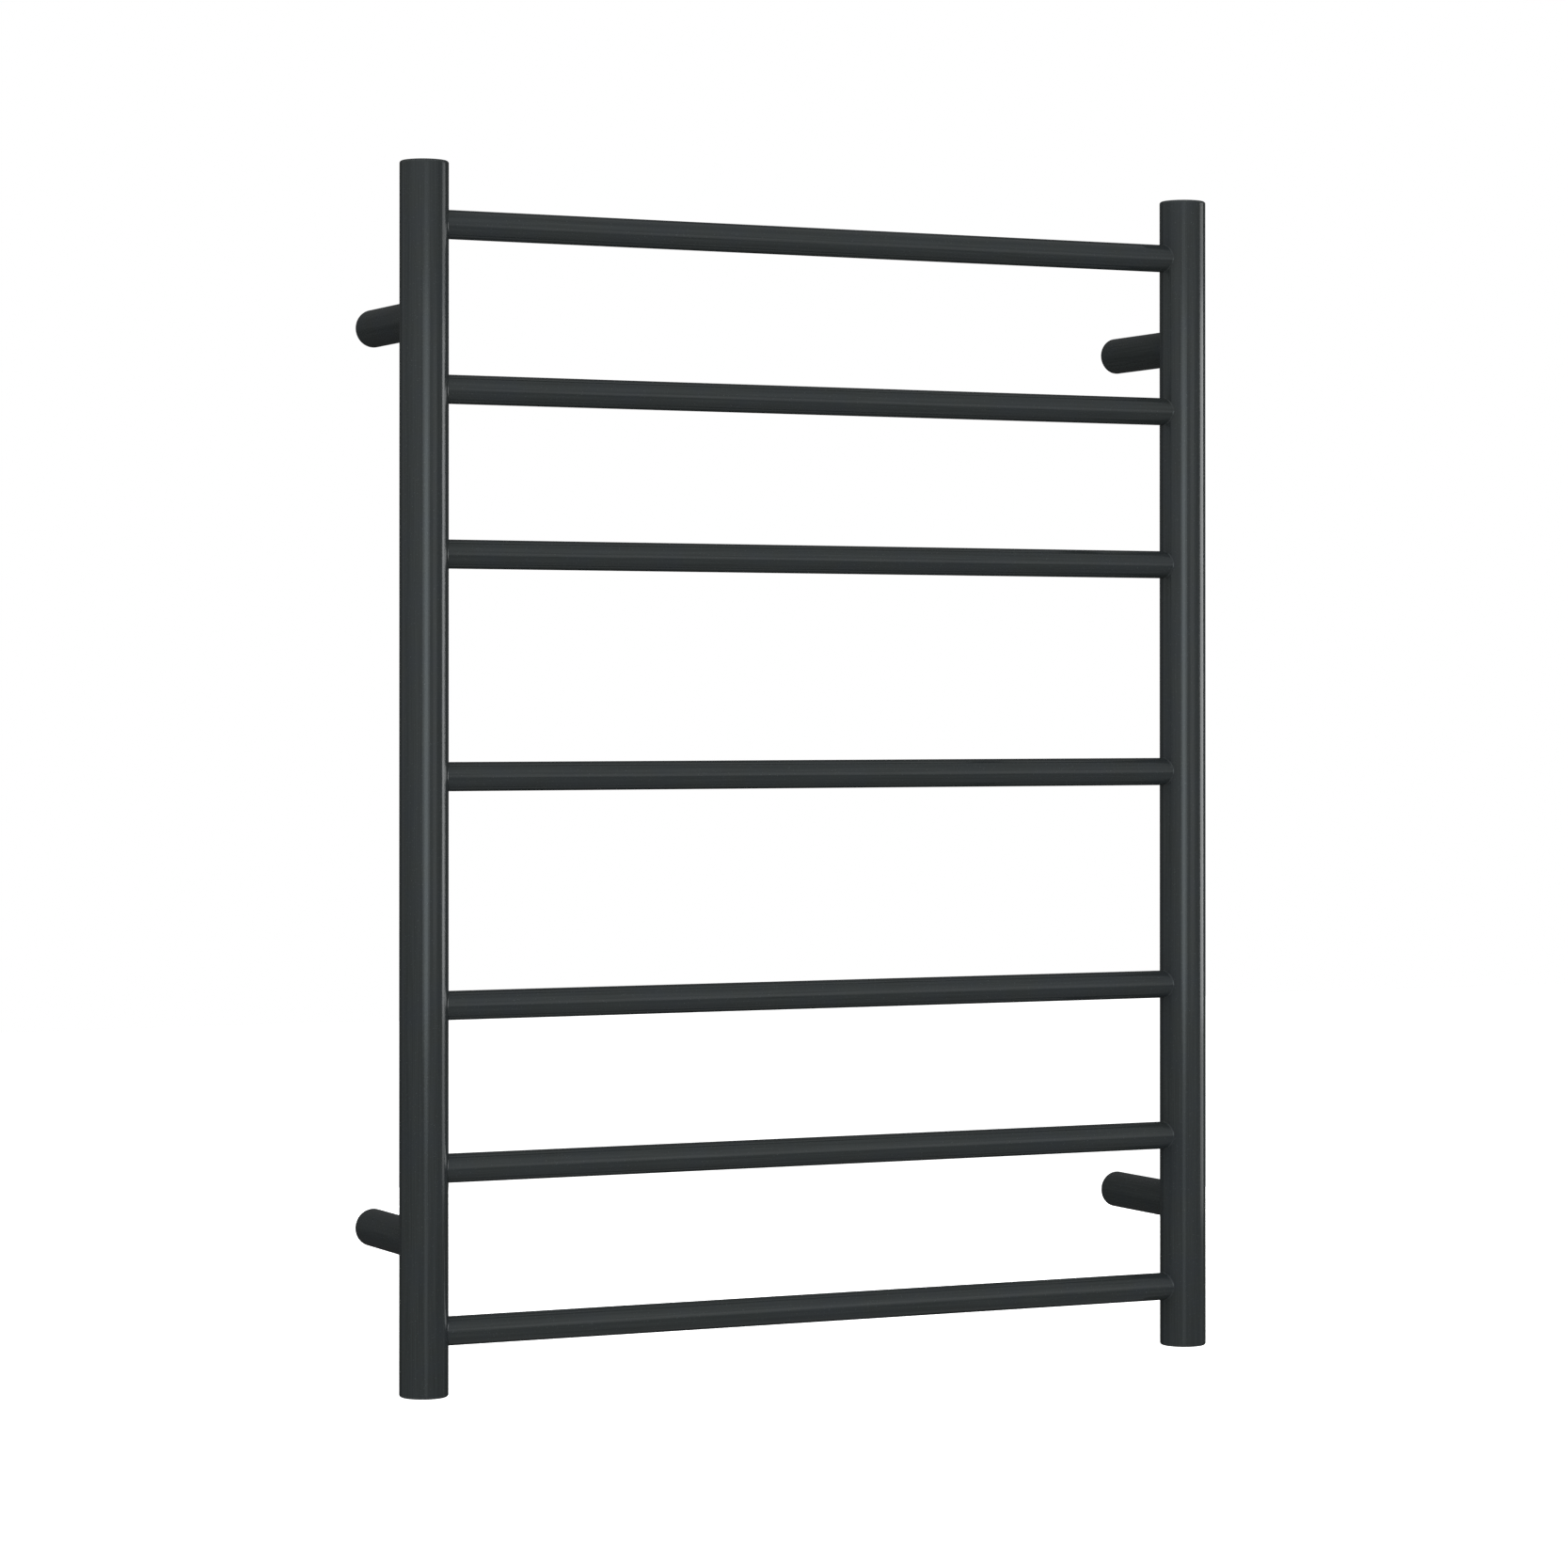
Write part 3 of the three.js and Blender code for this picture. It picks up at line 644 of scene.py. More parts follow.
class Outline:
    """Half the section of a turned piece: points of radius and height, in order round its metal."""

    hold = 0.3 * MM
    arc_steps = 6

    def __init__(self, radius: float, height: float) -> None:
        """Starts at a point."""
        self.points: list[tuple[float, float]] = [(radius, height)]
        self.rounded: list[bool] = [False]

    def run(self, radius: float, height: float, stops: Iterable[float] = ()) -> "Outline":
        """Adds a straight run, with points close to its ends that keep its shading even.

        Args:
            radius: Radius of the run's end.
            height: Height of the run's end.
            stops: Heights where the run has further points, on a run along the axis.

        Returns:
            This outline.
        """
        start = Vector(self.points[-1])
        end = Vector((radius, height))
        length = (end - start).length
        shares = [1.0]
        if length > 4 * self.hold:
            shares += [self.hold / length, 1 - self.hold / length]
        shares += [(stop - start.y) / (end.y - start.y) for stop in stops]
        for share in sorted(shares):
            self.points.append(tuple(start.lerp(end, share)))
            self.rounded.append(False)
        return self

    def arc(self, centre: tuple[float, float], size: float, start: float, end: float) -> "Outline":
        """Adds a round corner. Only a rising one, which is convex, is marked as a rounded edge.

        Args:
            centre: Radius and height of the arc's centre.
            size: The arc's own radius.
            start: Angle of its first point in degrees, from the outward direction towards up.
            end: Angle of its last point.

        Returns:
            This outline.
        """
        for step in range(self.arc_steps + 1):
            angle = math.radians(start + (end - start) * step / self.arc_steps)
            self.points.append((centre[0] + size * math.cos(angle), centre[1] + size * math.sin(angle)))
            self.rounded.append(end > start and 0 < step < self.arc_steps)
        return self

    def thread(self, crest: float, root: float, end: float, pitch: float) -> "Outline":
        """Adds the ridges of a thread, drawn as separate rings.

        Args:
            crest: Radius of the ridges' tops.
            root: Radius of the grooves.
            end: Height where the thread stops.
            pitch: Height of one ridge, made to fit.

        Returns:
            This outline.
        """
        start = self.points[-1][1]
        ridges = max(1, round(abs(end - start) / pitch))
        for ridge in range(ridges):
            low, high = (start + (end - start) * (ridge + step) / ridges for step in (0, 1))
            self.run(crest, (low + high) / 2).run(root, high)
        return self

    def mesh(self, name: str) -> bpy.types.Mesh:
        """Gives the outline as a chain of edges, closed unless it starts and ends on the axis.

        Args:
            name: The mesh's name.

        Returns:
            A mesh of edges in X and Y, with the rounded points marked.
        """
        points, rounded = [self.points[0]], [self.rounded[0]]
        for point, mark in zip(self.points[1:], self.rounded[1:]):
            if (Vector(point) - Vector(points[-1])).length > SAME_POINT:
                points.append(point)
                rounded.append(mark)
        on_axis = points[0][0] == 0 and points[-1][0] == 0
        if not on_axis and (Vector(points[0]) - Vector(points[-1])).length < SAME_POINT:
            points.pop()
            rounded.pop()
        edges = [(i, i + 1) for i in range(len(points) - 1)]
        if not on_axis:
            edges.append((len(points) - 1, 0))
        mesh = bpy.data.meshes.new(name)
        mesh.from_pydata([(radius, height, 0) for radius, height in points], edges, [])
        marks = mesh.attributes.new(EDGE_ATTRIBUTE, "FLOAT", "POINT")
        marks.data.foreach_set("value", [float(mark) for mark in rounded])
        return mesh


@dataclass(frozen=True)
class Tube:
    """A round tube about Z, from one height to another."""

    outer: float
    bore: float
    low: float
    high: float
    low_end: TubeEnd
    high_end: TubeEnd
    edge: float = 0.6 * MM
    bead: float = 0.6 * MM

    def outline(self, stops: Iterable[float] = ()) -> Outline:
        """Gives the tube's outline.

        Args:
            stops: Heights where both walls have further points.

        Returns:
            The outline, round from the bore at the lower end.
        """
        stops = list(stops)
        outline = Outline(self.bore, self.low)
        self.add_end(outline, self.low, -1, self.low_end)
        outline.run(self.outer, self.high - self.reach(self.high_end), stops)
        self.add_end(outline, self.high, 1, self.high_end)
        return outline.run(self.bore, self.high).run(self.bore, self.low, stops)

    def reach(self, end: TubeEnd) -> float:
        """Gives how far from a tube's end its edge finish starts."""
        return {TubeEnd.SQUARE: 0.0, TubeEnd.EASED: self.edge, TubeEnd.WELDED: self.bead}[end]

    def add_end(self, outline: Outline, height: float, up: int, end: TubeEnd) -> None:
        """Adds the finish of one end's outer edge.

        Args:
            outline: The outline to add to, at the bore for the lower end and at the wall for the upper.
            height: The end's height.
            up: 1 at the upper end and -1 at the lower.
            end: How the edge is finished.
        """
        inner = height - up * self.reach(end)
        if end is TubeEnd.SQUARE:
            outline.run(self.outer, height)
            return
        if end is TubeEnd.EASED:
            centre, size, angles = (self.outer - self.edge, inner), self.edge, (0, 90 * up)
        else:
            centre, size, angles = (self.outer + self.bead, inner), self.bead, (180, 180 - 90 * up)
        if up < 0:
            angles = angles[::-1]
            first = math.radians(angles[0])
            outline.run(centre[0] + size * math.cos(first), centre[1] + size * math.sin(first))
        outline.arc(centre, size, *angles)


@dataclass(frozen=True)
class Prism:
    """A flat-ended solid: an outline in X and Y, raised along Z, with its sharp edges rounded."""

    corners: Sequence[tuple[float, float]]
    height: float
    edge: float

    def mesh(self, name: str) -> bpy.types.Mesh:
        """Makes the solid, its lower end at height 0.

        Args:
            name: The mesh's name.

        Returns:
            The solid's mesh.
        """
        body = bmesh.new()
        base = body.faces.new([body.verts.new((x, y, 0)) for x, y in self.corners])
        raised = bmesh.ops.extrude_face_region(body, geom=[base])["geom"]
        top = [item for item in raised if isinstance(item, bmesh.types.BMVert)]
        bmesh.ops.translate(body, verts=top, vec=(0, 0, self.height))
        bmesh.ops.recalc_face_normals(body, faces=body.faces)
        sharp = [edge for edge in body.edges if edge.calc_face_angle(0) > SHARP_ANGLE]
        bmesh.ops.bevel(body, geom=sharp, offset=self.edge, segments=3, profile=0.5, affect="EDGES")
        for face in body.faces:
            face.smooth = True
        mesh = bpy.data.meshes.new(name)
        body.to_mesh(mesh)
        body.free()
        return mesh


def tidy(mesh: bpy.types.Mesh) -> None:
    """Faces a closed mesh outwards and marks its sharp edges, so that the rest shades smooth.

    Args:
        mesh: The mesh to change.
    """
    body = bmesh.new()
    body.from_mesh(mesh)
    if body.calc_volume(signed=True) < 0:
        bmesh.ops.reverse_faces(body, faces=body.faces)
    body.to_mesh(mesh)
    body.free()
    mesh.set_sharp_from_angle(angle=SHARP_ANGLE)


@dataclass(frozen=True)
class Extent:
    """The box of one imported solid."""

    low: Vector
    high: Vector

    @classmethod
    def of(cls, node: str) -> "Extent":
        """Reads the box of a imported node."""
        return cls(*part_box(node))

    @property
    def centre(self) -> Vector:
        """The box's middle."""
        return (self.low + self.high) / 2

    @property
    def size(self) -> Vector:
        """The box's three sides."""
        return self.high - self.low


@dataclass
class Workshop:
    """The geometry tools, and the bench where a made mesh becomes a piece of the rack."""

    lathe: Lathe = field(default_factory=Lathe)
    drill: Drill = field(default_factory=Drill)
    sheather: Sheather = field(default_factory=Sheather)
    made: list[bpy.types.Object] = field(default_factory=list)

    def fit(
        self, name: str, mesh: bpy.types.Mesh, finish: Finish, lie: Lie = Lie.UP, place: Vector = Vector()
    ) -> None:
        """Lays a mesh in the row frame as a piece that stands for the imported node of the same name.

        Args:
            name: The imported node's name. The piece is called the same with _shown after it.
            mesh: The piece's mesh, made along its own Z.
            finish: Its finish.
            lie: How it lies.
            place: Where its own origin goes.
        """
        mesh.transform(lie.matrix(place))
        tidy(mesh)
        mesh.materials.clear()
        mesh.materials.append(finish.material())
        piece = bpy.data.objects.new(f"{name}_shown", mesh)
        bpy.context.scene.collection.objects.link(piece)
        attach(piece, BODY)
        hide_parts(name)
        self.made.append(piece)
        LOG.info("%s: %d faces, %s", piece.name, len(mesh.polygons), finish.name)

    def dress(self, name: str, finish: Finish) -> None:
        """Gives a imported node, whose shape is already right, its finish.

        Args:
            name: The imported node's name.
            finish: Its finish.
        """
        node = frame["nodes"][name]
        node.data.materials.clear()
        node.data.materials.append(finish.material())
        LOG.info("%s: kept, %s", name, finish.name)


# ---- Sub-assemblies ----


@dataclass(frozen=True)
class Plan:
    """Places and sizes of the tubes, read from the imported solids, and the thickness of their walls."""

    uprights: dict[str, Extent]
    bars: dict[str, Extent]
    posts: dict[str, Extent]
    upright_wall: float = 1.5 * MM
    bar_wall: float = 1.2 * MM
    post_wall: float = 2.5 * MM

    @classmethod
    def read(cls) -> "Plan":
        """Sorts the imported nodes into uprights, bars and posts by their names.

        Returns:
            The plan.
        """
        boxes = {name: Extent.of(name) for name in sorted(frame["nodes"])}
        return cls(
            uprights={name: box for name, box in boxes.items() if name.endswith("_upright")},
            bars={name: box for name, box in boxes.items() if name.startswith("bar_")},
            posts={name: box for name, box in boxes.items() if name.endswith("_post")},
        )

    @property
    def upright_radius(self) -> float:
        """Outer radius of an upright."""
        return self.uprights["left_upright"].size.x / 2

    @property
    def bar_radius(self) -> float:
        """Outer radius of a bar."""
        return self.bars["bar_1"].size.z / 2

    @property
    def post_radius(self) -> float:
        """Outer radius of a post."""
        return self.posts["lower_left_post"].size.x / 2

    @property
    def upright_x(self) -> float:
        """Distance of an upright's axis from the middle of the rack."""
        return self.uprights["right_upright"].centre.x

    @property
    def ladder_y(self) -> float:
        """Place of the uprights' and bars' axes in front of the wall."""
        return self.uprights["right_upright"].centre.y

    @property
    def bar_heights(self) -> list[float]:
        """Heights of the bars' axes, from the lowest up."""
        return sorted(extent.centre.z for extent in self.bars.values())

    @property
    def post_heights(self) -> list[float]:
        """Heights of the posts' axes, from the lowest up."""
        return sorted({round(extent.centre.z, 6) for extent in self.posts.values()})


@dataclass
class Assembly:
    """A sub-assembly of the rack: the tools that make it, and the tubes that it fits."""

    shop: Workshop
    plan: Plan

    def build(self) -> None:
        """Makes the sub-assembly's pieces."""
        raise NotImplementedError


@dataclass
class Uprights(Assembly):
    """The two uprights, holed towards the bars and the posts, and the caps that close them."""

    facets: int = 128
    hole_facets: int = 48
    hole_margin: float = 1.0 * MM
    bit_reach: float = 1.2  # from the axis to just past the outside, in radii
    cap_thickness: float = 2 * MM
    cap_edge: float = 1.6 * MM
    spigot_wall: float = 1.5 * MM
    spigot_length: float = 8 * MM
    spigot_gap: float = 0.3 * MM

    def build(self) -> None:
        """Makes both uprights and their four caps."""
        coat, cover = COAT[Grain.Z], self.cap_thickness
        for name, extent in self.plan.uprights.items():
            axis = Vector((extent.centre.x, extent.centre.y, 0))
            top, bottom = (name.replace("upright", f"{end}_cap") for end in ("top", "bottom"))
            low, high = Extent.of(bottom).low.z, Extent.of(top).high.z
            inwards = -math.copysign(1, extent.centre.x)
            self.shop.fit(name, self.tube(low + cover, high - cover, inwards), coat, Lie.UP, axis)
            for cap, lie, height in ((top, Lie.UP, high), (bottom, Lie.DOWN, low)):
                self.shop.fit(cap, self.cap(), coat, lie, axis + Vector((0, 0, height)))

    def tube(self, low: float, high: float, inwards: float) -> bpy.types.Mesh:
        """Makes one upright about Z.

        Args:
            low: Height of its lower end, on the lower cap.
            high: Height of its upper end.
            inwards: 1 if the bars are on its +X side, and -1 if they are on its -X side.

        Returns:
            The upright's mesh.
        """
        plan, radius = self.plan, self.plan.upright_radius
        bar_bore, post_bore = plan.bar_radius - plan.bar_wall, plan.post_radius - plan.post_wall
        stops = [
            height + side * (bore + self.hole_margin)
            for bore, heights in ((bar_bore, plan.bar_heights), (post_bore, plan.post_heights))
            for height in heights
            for side in (-1, 1)
        ]
        tube = Tube(radius, radius - plan.upright_wall, low, high, TubeEnd.SQUARE, TubeEnd.SQUARE)
        mesh = self.shop.lathe.turn("upright", tube.outline(stops), COAT[Grain.Z], self.facets)
        reach = radius * self.bit_reach
        left = min(0, inwards * reach)
        facets, bars, posts = self.hole_facets, plan.bar_heights, plan.post_heights
        holes = [Hole(bar_bore, reach, Vector((left, 0, z)), facets, ALONG_X) for z in bars]
        holes += [Hole(post_bore, reach, Vector((0, reach, z)), facets, AGAINST_Y) for z in posts]
        return self.shop.drill.bore(mesh, COAT[Grain.Z], *holes)

    def cap(self) -> bpy.types.Mesh:
        """Makes one cap about Z, its outer face at height 0 and its spigot below.

        Returns:
            The cap's mesh.
        """
        radius = self.plan.upright_radius
        spigot = radius - self.plan.upright_wall - self.spigot_gap
        under = -self.cap_thickness
        tip = under - self.spigot_length
        outline = Outline(0, under).run(spigot - self.spigot_wall, under)
        outline.run(spigot - self.spigot_wall, tip).run(spigot, tip).run(spigot, under).run(radius, under)
        outline.run(radius, -self.cap_edge)
        outline.arc((radius - self.cap_edge, -self.cap_edge), self.cap_edge, 0, 90).run(0, 0)
        return self.shop.lathe.turn("cap", outline, COAT[Grain.Z], self.facets)


@dataclass
class Bars(Assembly):
    """The seven bars, each coped at both ends and welded to the uprights."""

    facets: int = 96

    def build(self) -> None:
        """Makes each bar."""
        plan, coat = self.plan, COAT[Grain.X]
        half = plan.upright_x - plan.upright_radius
        bore = plan.bar_radius - plan.bar_wall
        tube = Tube(plan.bar_radius, bore, -half, half, TubeEnd.WELDED, TubeEnd.WELDED)
        for name, extent in plan.bars.items():
            mesh = self.shop.lathe.turn(
                "bar", tube.outline(), coat, self.facets, cope_radius=plan.upright_radius, cope_from=half / 2
            )
            self.shop.fit(name, mesh, coat, Lie.ALONG_BARS, Vector((0, *extent.centre.yz)))


@dataclass
class WallPosts(Assembly):
    """The four posts, welded to the uprights, with their wall bosses and grub screws."""

    facets: int = 96
    small_facets: int = 48
    bit_reach: float = 1.2  # from the axis to just past the outside, in radii
    bit_run_out: float = 2 * MM
    screw_hole: float = 2.25 * MM
    sink: float = 4.2 * MM
    wired_hole_edge: float = 2 * MM
    cable_hole: float = 3.5 * MM
    cable_hole_edge: float = 1.6 * MM
    nose: float = 1 * MM
    groove_depth: float = 0.8 * MM
    groove_width: float = 6 * MM
    grub_inset: float = 9 * MM
    grub_clearance: float = 0.3 * MM
    thread_pitch: float = 0.8 * MM
    thread_depth: float = 0.35 * MM
    socket_flats: float = 2.5 * MM
    socket_depth: float = 1.8 * MM

    def build(self) -> None:
        """Makes each post with what it holds at the wall."""
        for name, extent in self.plan.posts.items():
            place = Vector((extent.centre.x, 0, extent.centre.z))
            boss, screw = name.replace("_post", "_wall_boss"), name.replace("_post", "_grub_screw")
            wired = name == "lower_right_post"
            self.shop.fit(name, self.post(Extent.of(screw)), COAT[Grain.Y], Lie.OUT_OF_WALL, place)
            self.shop.fit(boss, self.boss(Extent.of(boss), wired), ZINC, Lie.OUT_OF_WALL, place)
            self.shop.fit(screw, self.grub_screw(Extent.of(screw)), BLACK_OXIDE)

    def post(self, screw: Extent) -> bpy.types.Mesh:
        """Makes one post about Z, from the wall at height 0 out to its upright.

        Args:
            screw: The box of the grub screw that goes through its underside.

        Returns:
            The post's mesh.
        """
        plan, radius = self.plan, self.plan.post_radius
        length = -plan.ladder_y - plan.upright_radius
        tube = Tube(radius, radius - plan.post_wall, 0, length, TubeEnd.EASED, TubeEnd.WELDED)
        hole = screw.size.x / 2 + self.grub_clearance
        outline = tube.outline([self.grub_inset + side * (hole + MM) for side in (-1, 1)])
        mesh = self.shop.lathe.turn(
            "post", outline, COAT[Grain.Y], self.facets, cope_radius=plan.upright_radius, cope_from=length / 2
        )
        start = Vector((0, 0, self.grub_inset))
        grub_hole = Hole(hole, radius * self.bit_reach, start, self.small_facets, AGAINST_Y)
        return self.shop.drill.bore(mesh, COAT[Grain.Y], grub_hole)

    def boss(self, extent: Extent, wired: bool) -> bpy.types.Mesh:
        """Makes one boss about Z, its back on the wall at height 0.

        Args:
            extent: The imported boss's box.
            wired: Whether the supply cable comes in through it.

        Returns:
            The boss's mesh.
        """
        radius, length = extent.size.x / 2, extent.size.y
        root = radius - self.groove_depth
        start, stop = self.grub_inset - self.groove_width / 2, self.grub_inset + self.groove_width / 2
        throat = length - (self.sink - self.screw_hole)
        outline = Outline(0 if wired else self.screw_hole, 0).run(radius, 0).run(radius, start)
        outline.run(root, start + self.groove_depth).run(root, stop - self.groove_depth).run(radius, stop)
        outline.run(radius, length - self.nose).run(radius - self.nose, length)
        if wired:
            outline.run(0, length)
        else:
            outline.run(self.sink, length).run(self.screw_hole, throat).run(self.screw_hole, 0)
        mesh = self.shop.lathe.turn("boss", outline, ZINC, self.facets)
        if not wired:
            return mesh
        past, facets = self.bit_run_out, self.small_facets
        through, taper = length + 2 * past, length + past - throat
        drop = self.wired_hole_edge + self.screw_hole - radius
        rise = radius - self.cable_hole_edge - self.cable_hole
        return self.shop.drill.bore(
            mesh,
            ZINC,
            Hole(self.screw_hole, through, Vector((0, drop, -past)), facets),
            Hole(self.cable_hole, through, Vector((0, rise, -past)), facets),
            Hole(self.screw_hole, taper, Vector((0, drop, throat)), facets, far_radius=self.sink + past),
        )

    def grub_screw(self, extent: Extent) -> bpy.types.Mesh:
        """Makes one grub screw where it stands, its socket facing down.

        Args:
            extent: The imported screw's box.

        Returns:
            The screw's mesh, already in the row frame.
        """
        radius, head, tip = extent.size.x / 2, extent.low.z, extent.high.z
        root = radius - self.thread_depth
        outline = Outline(0, head).run(root, head).thread(radius, root, tip, self.thread_pitch).run(0, tip)
        mesh = self.shop.lathe.turn("grub_screw", outline, BLACK_OXIDE, self.small_facets)
        corner = self.socket_flats / math.sqrt(3)
        socket = Hole(corner, self.socket_depth + MM, Vector((0, 0, head - MM)), facets=6)
        mesh = self.shop.drill.bore(mesh, BLACK_OXIDE, socket)
        mesh.transform(Matrix.Translation((*extent.centre.xy, 0)))
        return mesh


@dataclass
class HeatingRun(Assembly):
    """The heating cable through all the tubes, what is on it, and the supply cable's grommet."""

    facets: int = 24
    sleeve_facets: int = 48
    bend_steps: int = 12
    cable_radius: float = 2 * MM
    cable_bend: float = 24 * MM
    cable_tail: float = 50 * MM
    joint_grip: float = 13 * MM
    joint_edge: float = 1.5 * MM
    cable_fit: float = 0.3 * MM
    lead_grip: float = 6 * MM
    lead_bend: float = 5 * MM
    lead_rise: float = 4 * MM
    sleeve_wall: float = 1 * MM
    sleeve_grip: float = 15 * MM
    flange: float = 1.2 * MM
    grommet_wall: float = 0.9 * MM
    supply_socket_radius: float = 2.8 * MM
    supply_socket_depth: float = 10 * MM

    def build(self) -> None:
        """Makes the cable, its end sleeve and cold joint, the cut-out's lead and the grommet."""
        joint, grommet = Extent.of("cold_joint"), Extent.of("supply_cable_grommet")
        route = self.cable_route(Vector((joint.centre.x, joint.low.y + self.joint_grip, joint.centre.z)))
        self.sheathe("heating_cable", route, self.cable_radius, self.cable_bend, SILICONE)
        self.lead(joint)
        self.shop.fit("heating_cable_end_sleeve", self.end_sleeve(), SLEEVE_RUBBER, Lie.UP, route[-1])
        back = Vector((joint.centre.x, joint.high.y, joint.centre.z))
        self.shop.fit("cold_joint", self.cold_joint(joint), SLEEVE_RUBBER, Lie.OUT_OF_WALL, back)
        wall = Vector((grommet.centre.x, 0, grommet.centre.z))
        mesh = self.grommet(grommet)
        self.shop.fit("supply_cable_grommet", mesh, GROMMET_RUBBER, Lie.OUT_OF_WALL, wall)

    def cable_route(self, entry: Vector) -> list[Vector]:
        """Gives the heating cable's corners.

        Args:
            entry: Where it leaves the cold joint, in the lower right post.

        Returns:
            Corners from the entry, along each bar from the lowest up, to the tail in an upright.
        """
        x, y = self.plan.upright_x, self.plan.ladder_y
        route = [entry, Vector((x, y, entry.z))]
        for height in self.plan.bar_heights:
            route += [Vector((x, y, height)), Vector((-x, y, height))]
            x = -x
        route.append(route[-1] - Vector((0, 0, self.cable_tail)))
        return route

    def sheathe(self, name: str, route: Sequence[Vector], radius: float, bend: float, finish: Finish) -> None:
        """Makes one cable or lead along its corners.

        Args:
            name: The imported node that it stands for.
            route: Its corners.
            radius: Its outer radius.
            bend: Radius of its bends.
            finish: Its finish.
        """
        base = bpy.data.meshes.new(name)
        base.from_pydata(route, [(i, i + 1) for i in range(len(route) - 1)], [])
        mesh = self.shop.sheather.make(
            base, finish, facets=self.facets, radius=radius, bend_radius=bend, bend_steps=self.bend_steps
        )
        self.shop.fit(name, mesh, finish)

    def lead(self, joint: Extent) -> None:
        """Makes the cut-out's lead, from the cold joint to the cut-out's lower end.

        Args:
            joint: The cold joint's box.
        """
        lead = Extent.of("thermal_cutout_lead")
        x, radius, height = lead.centre.x, lead.size.x / 2, joint.centre.z + self.lead_rise
        front = lead.low.y + radius
        corners = ((joint.low.y + self.lead_grip, height), (front, height), (front, lead.high.z))
        route = [Vector((x, y, z)) for y, z in corners]
        self.sheathe("thermal_cutout_lead", route, radius, self.lead_bend, LEAD_INSULATION)

    def end_sleeve(self) -> bpy.types.Mesh:
        """Makes the end sleeve about Z, with the cable's end at height 0 and its own closed end below.

        Returns:
            The sleeve's mesh.
        """
        wall, grip, fit = self.sleeve_wall, self.sleeve_grip, self.cable_fit
        inner = self.cable_radius + fit
        low = grip - Extent.of("heating_cable_end_sleeve").size.z
        outline = Outline(0, low).run(inner, low).arc((inner, low + wall), wall, -90, 0)
        outline.run(inner + wall, grip).run(inner, grip).run(inner, -fit).run(0, -fit)
        return self.shop.lathe.turn("end_sleeve", outline, SLEEVE_RUBBER, self.sleeve_facets)

    def cold_joint(self, extent: Extent) -> bpy.types.Mesh:
        """Makes the cold joint about Z, its rear end at height 0, with a hole for each cable.

        Args:
            extent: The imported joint's box.

        Returns:
            The joint's mesh.
        """
        radius, length, edge, fit = extent.size.x / 2, extent.size.y, self.joint_edge, self.cable_fit
        outline = Outline(0, 0).run(radius - edge, 0).arc((radius - edge, edge), edge, -90, 0)
        outline.run(radius, length - edge).arc((radius - edge, length - edge), edge, 0, 90).run(0, length)
        mesh = self.shop.lathe.turn("cold_joint", outline, SLEEVE_RUBBER, self.sleeve_facets)
        lead_radius = Extent.of("thermal_cutout_lead").size.x / 2
        holes = [
            Hole(wire + fit, grip + fit + MM, Vector((0, rise, length - grip - fit)), self.facets)
            for wire, grip, rise in (
                (self.cable_radius, self.joint_grip, 0.0),
                (lead_radius, self.lead_grip, self.lead_rise),
            )
        ]
        depth = self.supply_socket_depth + MM
        holes.append(Hole(self.supply_socket_radius, depth, Vector((0, 0, -MM)), self.facets))
        return self.shop.drill.bore(mesh, SLEEVE_RUBBER, *holes)

    def grommet(self, extent: Extent) -> bpy.types.Mesh:
        """Makes the grommet about Z, its plain end on the wall at height 0 and its flange out of the wall.

        Args:
            extent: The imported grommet's box.

        Returns:
            The grommet's mesh.
        """
        rim, length, round_over = extent.size.x / 2, extent.size.y, self.flange / 2
        outer, step = rim - self.flange, length - self.flange
        inner = outer - self.grommet_wall
        outline = Outline(inner, 0).run(outer, 0).run(outer, step).run(rim - round_over, step)
        outline.arc((rim - round_over, step + round_over), round_over, -90, 90)
        outline.run(inner, length).run(inner, 0)
        return self.shop.lathe.turn("grommet", outline, GROMMET_RUBBER, self.sleeve_facets)


@dataclass
class ThermalCutout(Assembly):
    """The thermal cut-out in the right upright, and the bowed leaf spring that holds it to the bore."""

    body_edge: float = 0.6 * MM
    spring_radius: float = 17 * MM
    spring_thickness: float = 0.5 * MM
    spring_edge: float = 0.1 * MM
    spring_steps: int = 32

    def build(self) -> None:
        """Makes the cut-out and its spring."""
        body, spring = Extent.of("thermal_cutout"), Extent.of("thermal_cutout_spring")
        x, y = body.size.x / 2, body.size.y / 2
        corners = [(-x, -y), (x, -y), (x, y), (-x, y)]
        block = Prism(corners, body.size.z, self.body_edge).mesh("thermal_cutout")
        place = Vector((body.centre.x, body.centre.y, body.low.z))
        self.shop.fit("thermal_cutout", block, CUTOUT_PLASTIC, Lie.UP, place)
        strip = Prism(self.bow(spring.size.x / 2), spring.size.z, self.spring_edge).mesh("spring")
        place = Vector((spring.centre.x, spring.low.y, spring.low.z))
        self.shop.fit("thermal_cutout_spring", strip, SPRING_STEEL, Lie.UP, place)

    def bow(self, reach: float) -> list[tuple[float, float]]:
        """Gives the section of the spring, its crown at the origin and facing the front.

        Args:
            reach: Distance of its tips from its middle.

        Returns:
            Corners along its outer face, and back along its inner one.
        """
        radius = self.spring_radius
        half = math.asin(reach / radius)
        angles = [half * (2 * step / self.spring_steps - 1) for step in range(self.spring_steps + 1)]
        faces = [(radius, angle) for angle in angles]
        faces += [(radius - self.spring_thickness, angle) for angle in reversed(angles)]
        return [(size * math.sin(angle), radius - size * math.cos(angle)) for size, angle in faces]


